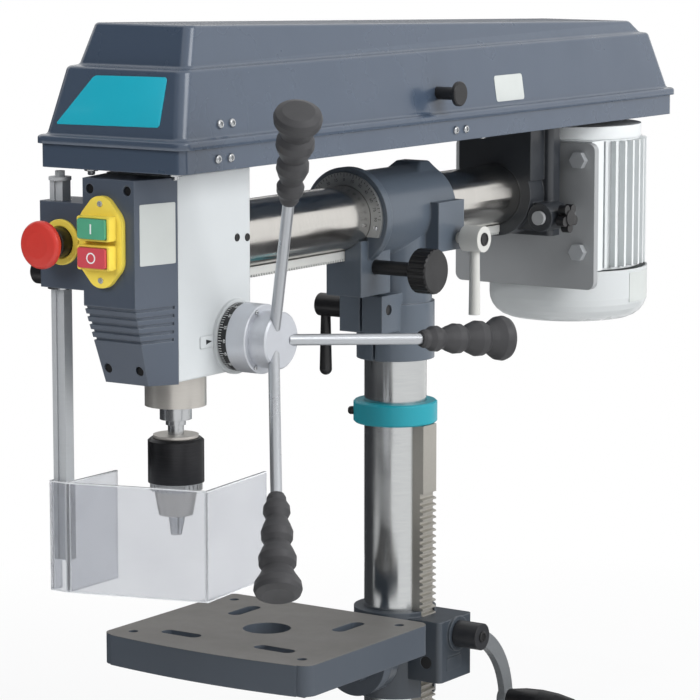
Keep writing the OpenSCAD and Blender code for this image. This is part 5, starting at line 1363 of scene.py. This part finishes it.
@dataclass
class LiftDress:
    """What is screwed on the column's collar, the lifting gear's box and the crank."""

    shop: Workshop
    collar_r: float = 40.3
    collar_z: float = 481.5
    collar_turn: float = 214.0
    collar_screw: Head = (4.0, 5.5)
    window_at: Spot = (68.2, 0.0, 241.0)
    window_half: Pair = (13.0, 6.5)
    window_skin: Skin = (0.25, 2.0, 0.05)
    crank_end: Spot = (97.5, 4.0, 269.7)
    crank_screw: Head = (5.4, 1.6)

    def build(self) -> None:
        """Builds the collar's set screw, the gear's window cover and the crank's end screw."""
        turn = math.radians(self.collar_turn)
        out = Vector((math.cos(turn), math.sin(turn), 0))
        self.shop.draw("collar_set_screw", BLACK_STEEL, Body.STAND, "black_steel",
                       add_socket_screws,
                       [facing(out * self.collar_r + Vector((0, 0, self.collar_z)), out)],
                       *self.collar_screw)
        self.shop.draw("gear_window_cover", WINDOW_GREY, Body.BRACKET, "dark_paint", add_plate,
                       block(*self.window_half), facing(self.window_at, RIGHT), *self.window_skin)
        self.shop.draw("crank_end_screw", BLACK_STEEL, Body.CRANK, "black_steel", add_socket_screws,
                       [facing(self.crank_end, RIGHT)], *self.crank_screw)


@dataclass
class MotorDress:
    """The bare plate and the screws on the motor's cowl."""

    shop: Workshop
    centre_y: float = 328.3
    cowl_r: float = 82.0
    plate_ends: Pair = (-118.0, -88.0)
    plate_start: float = -10.0
    plate_sweep: float = 31.0
    plate_thick: float = 0.5
    plate_gap: float = 0.05
    screw: Head = (3.4, 2.6)
    screw_drop: float = 92.0
    screw_sunk: float = 0.3
    screw_turns: Plan = (-45.0, 45.0, 135.0, 225.0)

    def plate(self) -> None:
        """Builds the bare plate, rolled to the cowl."""
        bm = bmesh.new()
        start = math.radians(self.plate_start)
        r = self.cowl_r + self.plate_gap
        verts = [bm.verts.new((r * math.cos(start), r * math.sin(start), z))
                 for z in self.plate_ends]
        edge = bm.edges.new(verts)
        bmesh.ops.spin(bm, geom=verts + [edge], cent=(0, 0, 0), axis=UP,
                       angle=math.radians(self.plate_sweep), steps=12)
        bmesh.ops.recalc_face_normals(bm, faces=bm.faces[:])
        bmesh.ops.solidify(bm, geom=bm.faces[:], thickness=-self.plate_thick)
        bmesh.ops.translate(bm, verts=bm.verts[:], vec=(0, self.centre_y, ARM_H))
        self.shop.hand_in("motor_plate_bare", bm, LABEL_WHITE, Body.MOTOR, "pale_paint")

    def screws(self) -> None:
        """Builds the four screws round the top of the cowl."""
        places = []
        for degrees in self.screw_turns:
            turn = math.radians(degrees)
            out = Vector((math.cos(turn), math.sin(turn), 0))
            spot = (Vector((0, self.centre_y, ARM_H - self.screw_drop))
                    + out * (self.cowl_r - self.screw_sunk))
            places.append(facing(spot, out))
        self.shop.draw("cowl_screws", BRIGHT, Body.MOTOR, "bright_steel", add_socket_screws, places,
                       *self.screw)

    def build(self) -> None:
        """Builds everything on the motor."""
        self.plate()
        self.screws()


@dataclass
class Studio:
    """The floor, the lights and the camera.

    A lamp is its name, its spot, its watts and its size; a flag its name, its spot, half its width
    and its height.
    """

    camera_mm: Spot = (1657.43, -2523.69, 989.15)
    azimuth: float = 34.125
    pitch: float = 8.461
    lens: float = 163.19
    sensor: float = 36.0
    lamps: tuple[tuple[str, Spot, float, float], ...] = (
        ("right_softbox", (2.9, 0.3, 1.7), 100.0, 2.2),
        ("front_softbox", (-0.4, -2.7, 2.0), 38.0, 1.4),
        ("top_softbox", (0.6, 0.2, 3.2), 18.0, 2.4),
        ("rear_softbox", (-2.4, 1.6, 1.8), 26.0, 2.0),
    )
    flags: tuple[tuple[str, Spot, float, float], ...] = (
        ("front_flag", (-0.40, -1.80, 0.95), 1.1, 1.9),
        ("left_flag", (-1.5, -0.3, 0.55), 1.25, 1.1),
        ("rear_flag", (-0.95, 1.25, 0.5), 0.75, 1.0),
        ("right_card", (2.6, -0.2, 2.3), 0.9, 1.2),
        ("lid_flag", (-1.05, -1.25, 1.75), 0.8, 1.3),
        ("left_cloth", (-0.95, 0.05, 0.01), 0.75, 1.8),
        ("floor_cloth", (0.65, 1.25, 0.01), 0.55, 1.8),
    )
    card: str = "right_card"
    card_glow: float = 5.5
    card_drift: float = 0.5
    cloud_mm: float = 500.0
    speck_mm: float = 1000.0 / 3.0
    sky: str = "#eef1f4"
    sky_light: float = 0.30
    sees_to: float = 50.0
    aim: Spot = (0.0, -0.05, 0.55)
    floor_half: float = 12.0
    floor_z: float = -0.0005
    lying: float = 0.1

    def backdrop(self, tree: bpy.types.NodeTree) -> bpy.types.Node:
        """Adds the test for rays that should see the white backdrop.

        Args:
            tree: the node tree of the floor or the world.

        Returns:
            A node that gives 1 for rays from the camera, metal or glass, and 0 for light.
        """
        rays = add_node(tree, "ShaderNodeLightPath").outputs
        seen = reckon(tree, "MAXIMUM", rays["Is Camera Ray"], rays["Is Glossy Ray"])
        return reckon(tree, "MAXIMUM", seen, rays["Is Transmission Ray"])

    def world(self) -> None:
        """Sets a soft even sky that the camera sees as white."""
        sky = bpy.data.worlds.new("studio_sky")
        bpy.context.scene.world = sky
        sky.use_nodes = True
        tree = sky.node_tree
        tree.nodes.clear()
        soft = add_node(tree, "ShaderNodeBackground", sockets={
            "Color": linear(self.sky), "Strength": self.sky_light})
        white = add_node(tree, "ShaderNodeBackground", sockets={"Color": WHITE, "Strength": 1.0})
        pick = add_node(tree, "ShaderNodeMixShader",
                        sockets={0: self.backdrop(tree), 1: soft, 2: white})
        add_node(tree, "ShaderNodeOutputWorld", sockets={"Surface": pick})

    def sheet(
        self, name: str, half: tuple[float, float], material: bpy.types.Material, cells: int = 1
    ) -> bpy.types.Object:
        """Makes a flat sheet of the studio.

        Args:
            name: the sheet's name.
            half: half its width and half its length.
            material: what it wears.
            cells: the number of its cells each way.

        Returns:
            The new object.
        """
        bm = bmesh.new()
        bmesh.ops.create_grid(bm, x_segments=cells, y_segments=cells, size=1.0)
        bmesh.ops.scale(bm, verts=bm.verts[:], vec=(*half, 1.0))
        mesh = bpy.data.meshes.new(name)
        bm.to_mesh(mesh)
        bm.free()
        mesh.materials.append(material)
        return put_in_scene(name, mesh)

    def floor(self) -> None:
        """Lays the pale floor that keeps the machine's shadow."""
        made, tree, shader, place = start_material("studio_floor_paint")
        speck = noise(tree, place, self.speck_mm)
        tone = blend(tree, speck, "#f4f4f4", "#fafafa")
        set_sockets(tree, shader, {"Base Color": tone, "Roughness": 0.9})
        # the shadow shows near the foot, and the floor runs out into the white backdrop
        away = add_node(tree, VECTOR, {"operation": "LENGTH"}, {0: place})
        fade = band(tree, away, (0.3, 1.6), (0.55, 1.0))
        shown = reckon(tree, "MULTIPLY", fade, self.backdrop(tree))
        white = add_node(tree, "ShaderNodeEmission", sockets={"Color": WHITE, "Strength": 1.0})
        both = add_node(tree, "ShaderNodeMixShader", sockets={0: shown, 1: shader, 2: white})
        set_sockets(tree, tree.nodes["Material Output"], {"Surface": both})
        ground = self.sheet("studio_floor", (self.floor_half, self.floor_half), made, 8)
        ground.location.z = self.floor_z

    def lights(self) -> None:
        """Hangs the soft boxes, each aimed at the arm."""
        for name, spot, watts, size in self.lamps:
            lamp = bpy.data.lights.new(name, "AREA")
            lamp.energy = watts
            lamp.size = size
            box = put_in_scene(name, lamp)
            box.location = spot
            box.visible_glossy = False
            aim = Vector(self.aim) - Vector(spot)
            box.rotation_euler = aim.to_track_quat("-Z", "Y").to_euler()

    def black_flags(self) -> None:
        """Stands dark cloths and a white card round the machine; only metal and gloss show them."""
        black, tree, shader, place = start_material("studio_black_cloth")
        weave = noise(tree, place, 4.0)
        tone = blend(tree, weave, "#3a3b3e", "#434447")
        set_sockets(tree, shader, {"Base Color": tone, "Roughness": 1.0})
        white, tree, _, place = start_material("studio_white_card")
        cloud = noise(tree, place, self.cloud_mm)
        glow = band(
            tree, cloud, FULL, (self.card_glow - self.card_drift, self.card_glow + self.card_drift))
        lit = add_node(tree, "ShaderNodeEmission", sockets={"Color": WHITE, "Strength": glow})
        set_sockets(tree, tree.nodes["Material Output"], {"Surface": lit})
        for name, spot, half_wide, high in self.flags:
            cloth = self.sheet(name, (half_wide, high / 2), white if name == self.card else black)
            cloth.location = spot
            if spot[2] > self.lying:
                aim = Vector((*self.aim[:2], spot[2])) - Vector(spot)
                cloth.rotation_euler = aim.to_track_quat("Z", "Y").to_euler()
            cloth.visible_camera = False
            cloth.visible_diffuse = False
            cloth.visible_shadow = False
            cloth.visible_transmission = False

    def camera(self) -> None:
        """Sets the camera at the photograph's place."""
        lens = bpy.data.cameras.new("photo_camera")
        lens.lens = self.lens
        lens.sensor_width = self.sensor
        lens.clip_end = self.sees_to
        view = put_in_scene("photo_camera", lens)
        view.location = Vector(self.camera_mm) * MM
        view.rotation_euler = (math.radians(90.0 - self.pitch), 0.0, math.radians(self.azimuth))
        bpy.context.scene.camera = view

    def build(self) -> None:
        """Sets up the studio."""
        bpy.context.scene.view_settings.view_transform = "Standard"
        self.camera()
        self.floor()
        self.world()
        self.lights()
        self.black_flags()


def main() -> None:
    """Builds the studio and dresses the machine."""
    logging.basicConfig(level=logging.INFO, format="%(name)s: %(message)s")
    shop = Workshop()
    parts: Iterable[Any] = (Studio(), BeltCover(shop), DrillHead(shop), ArmDress(shop),
                            LiftDress(shop),
                             MotorDress(shop))
    shop.paint_nodes()
    for part in parts:
        part.build()
        LOG.info("built %s", type(part).__name__)


if __name__ == "__main__":
    main()
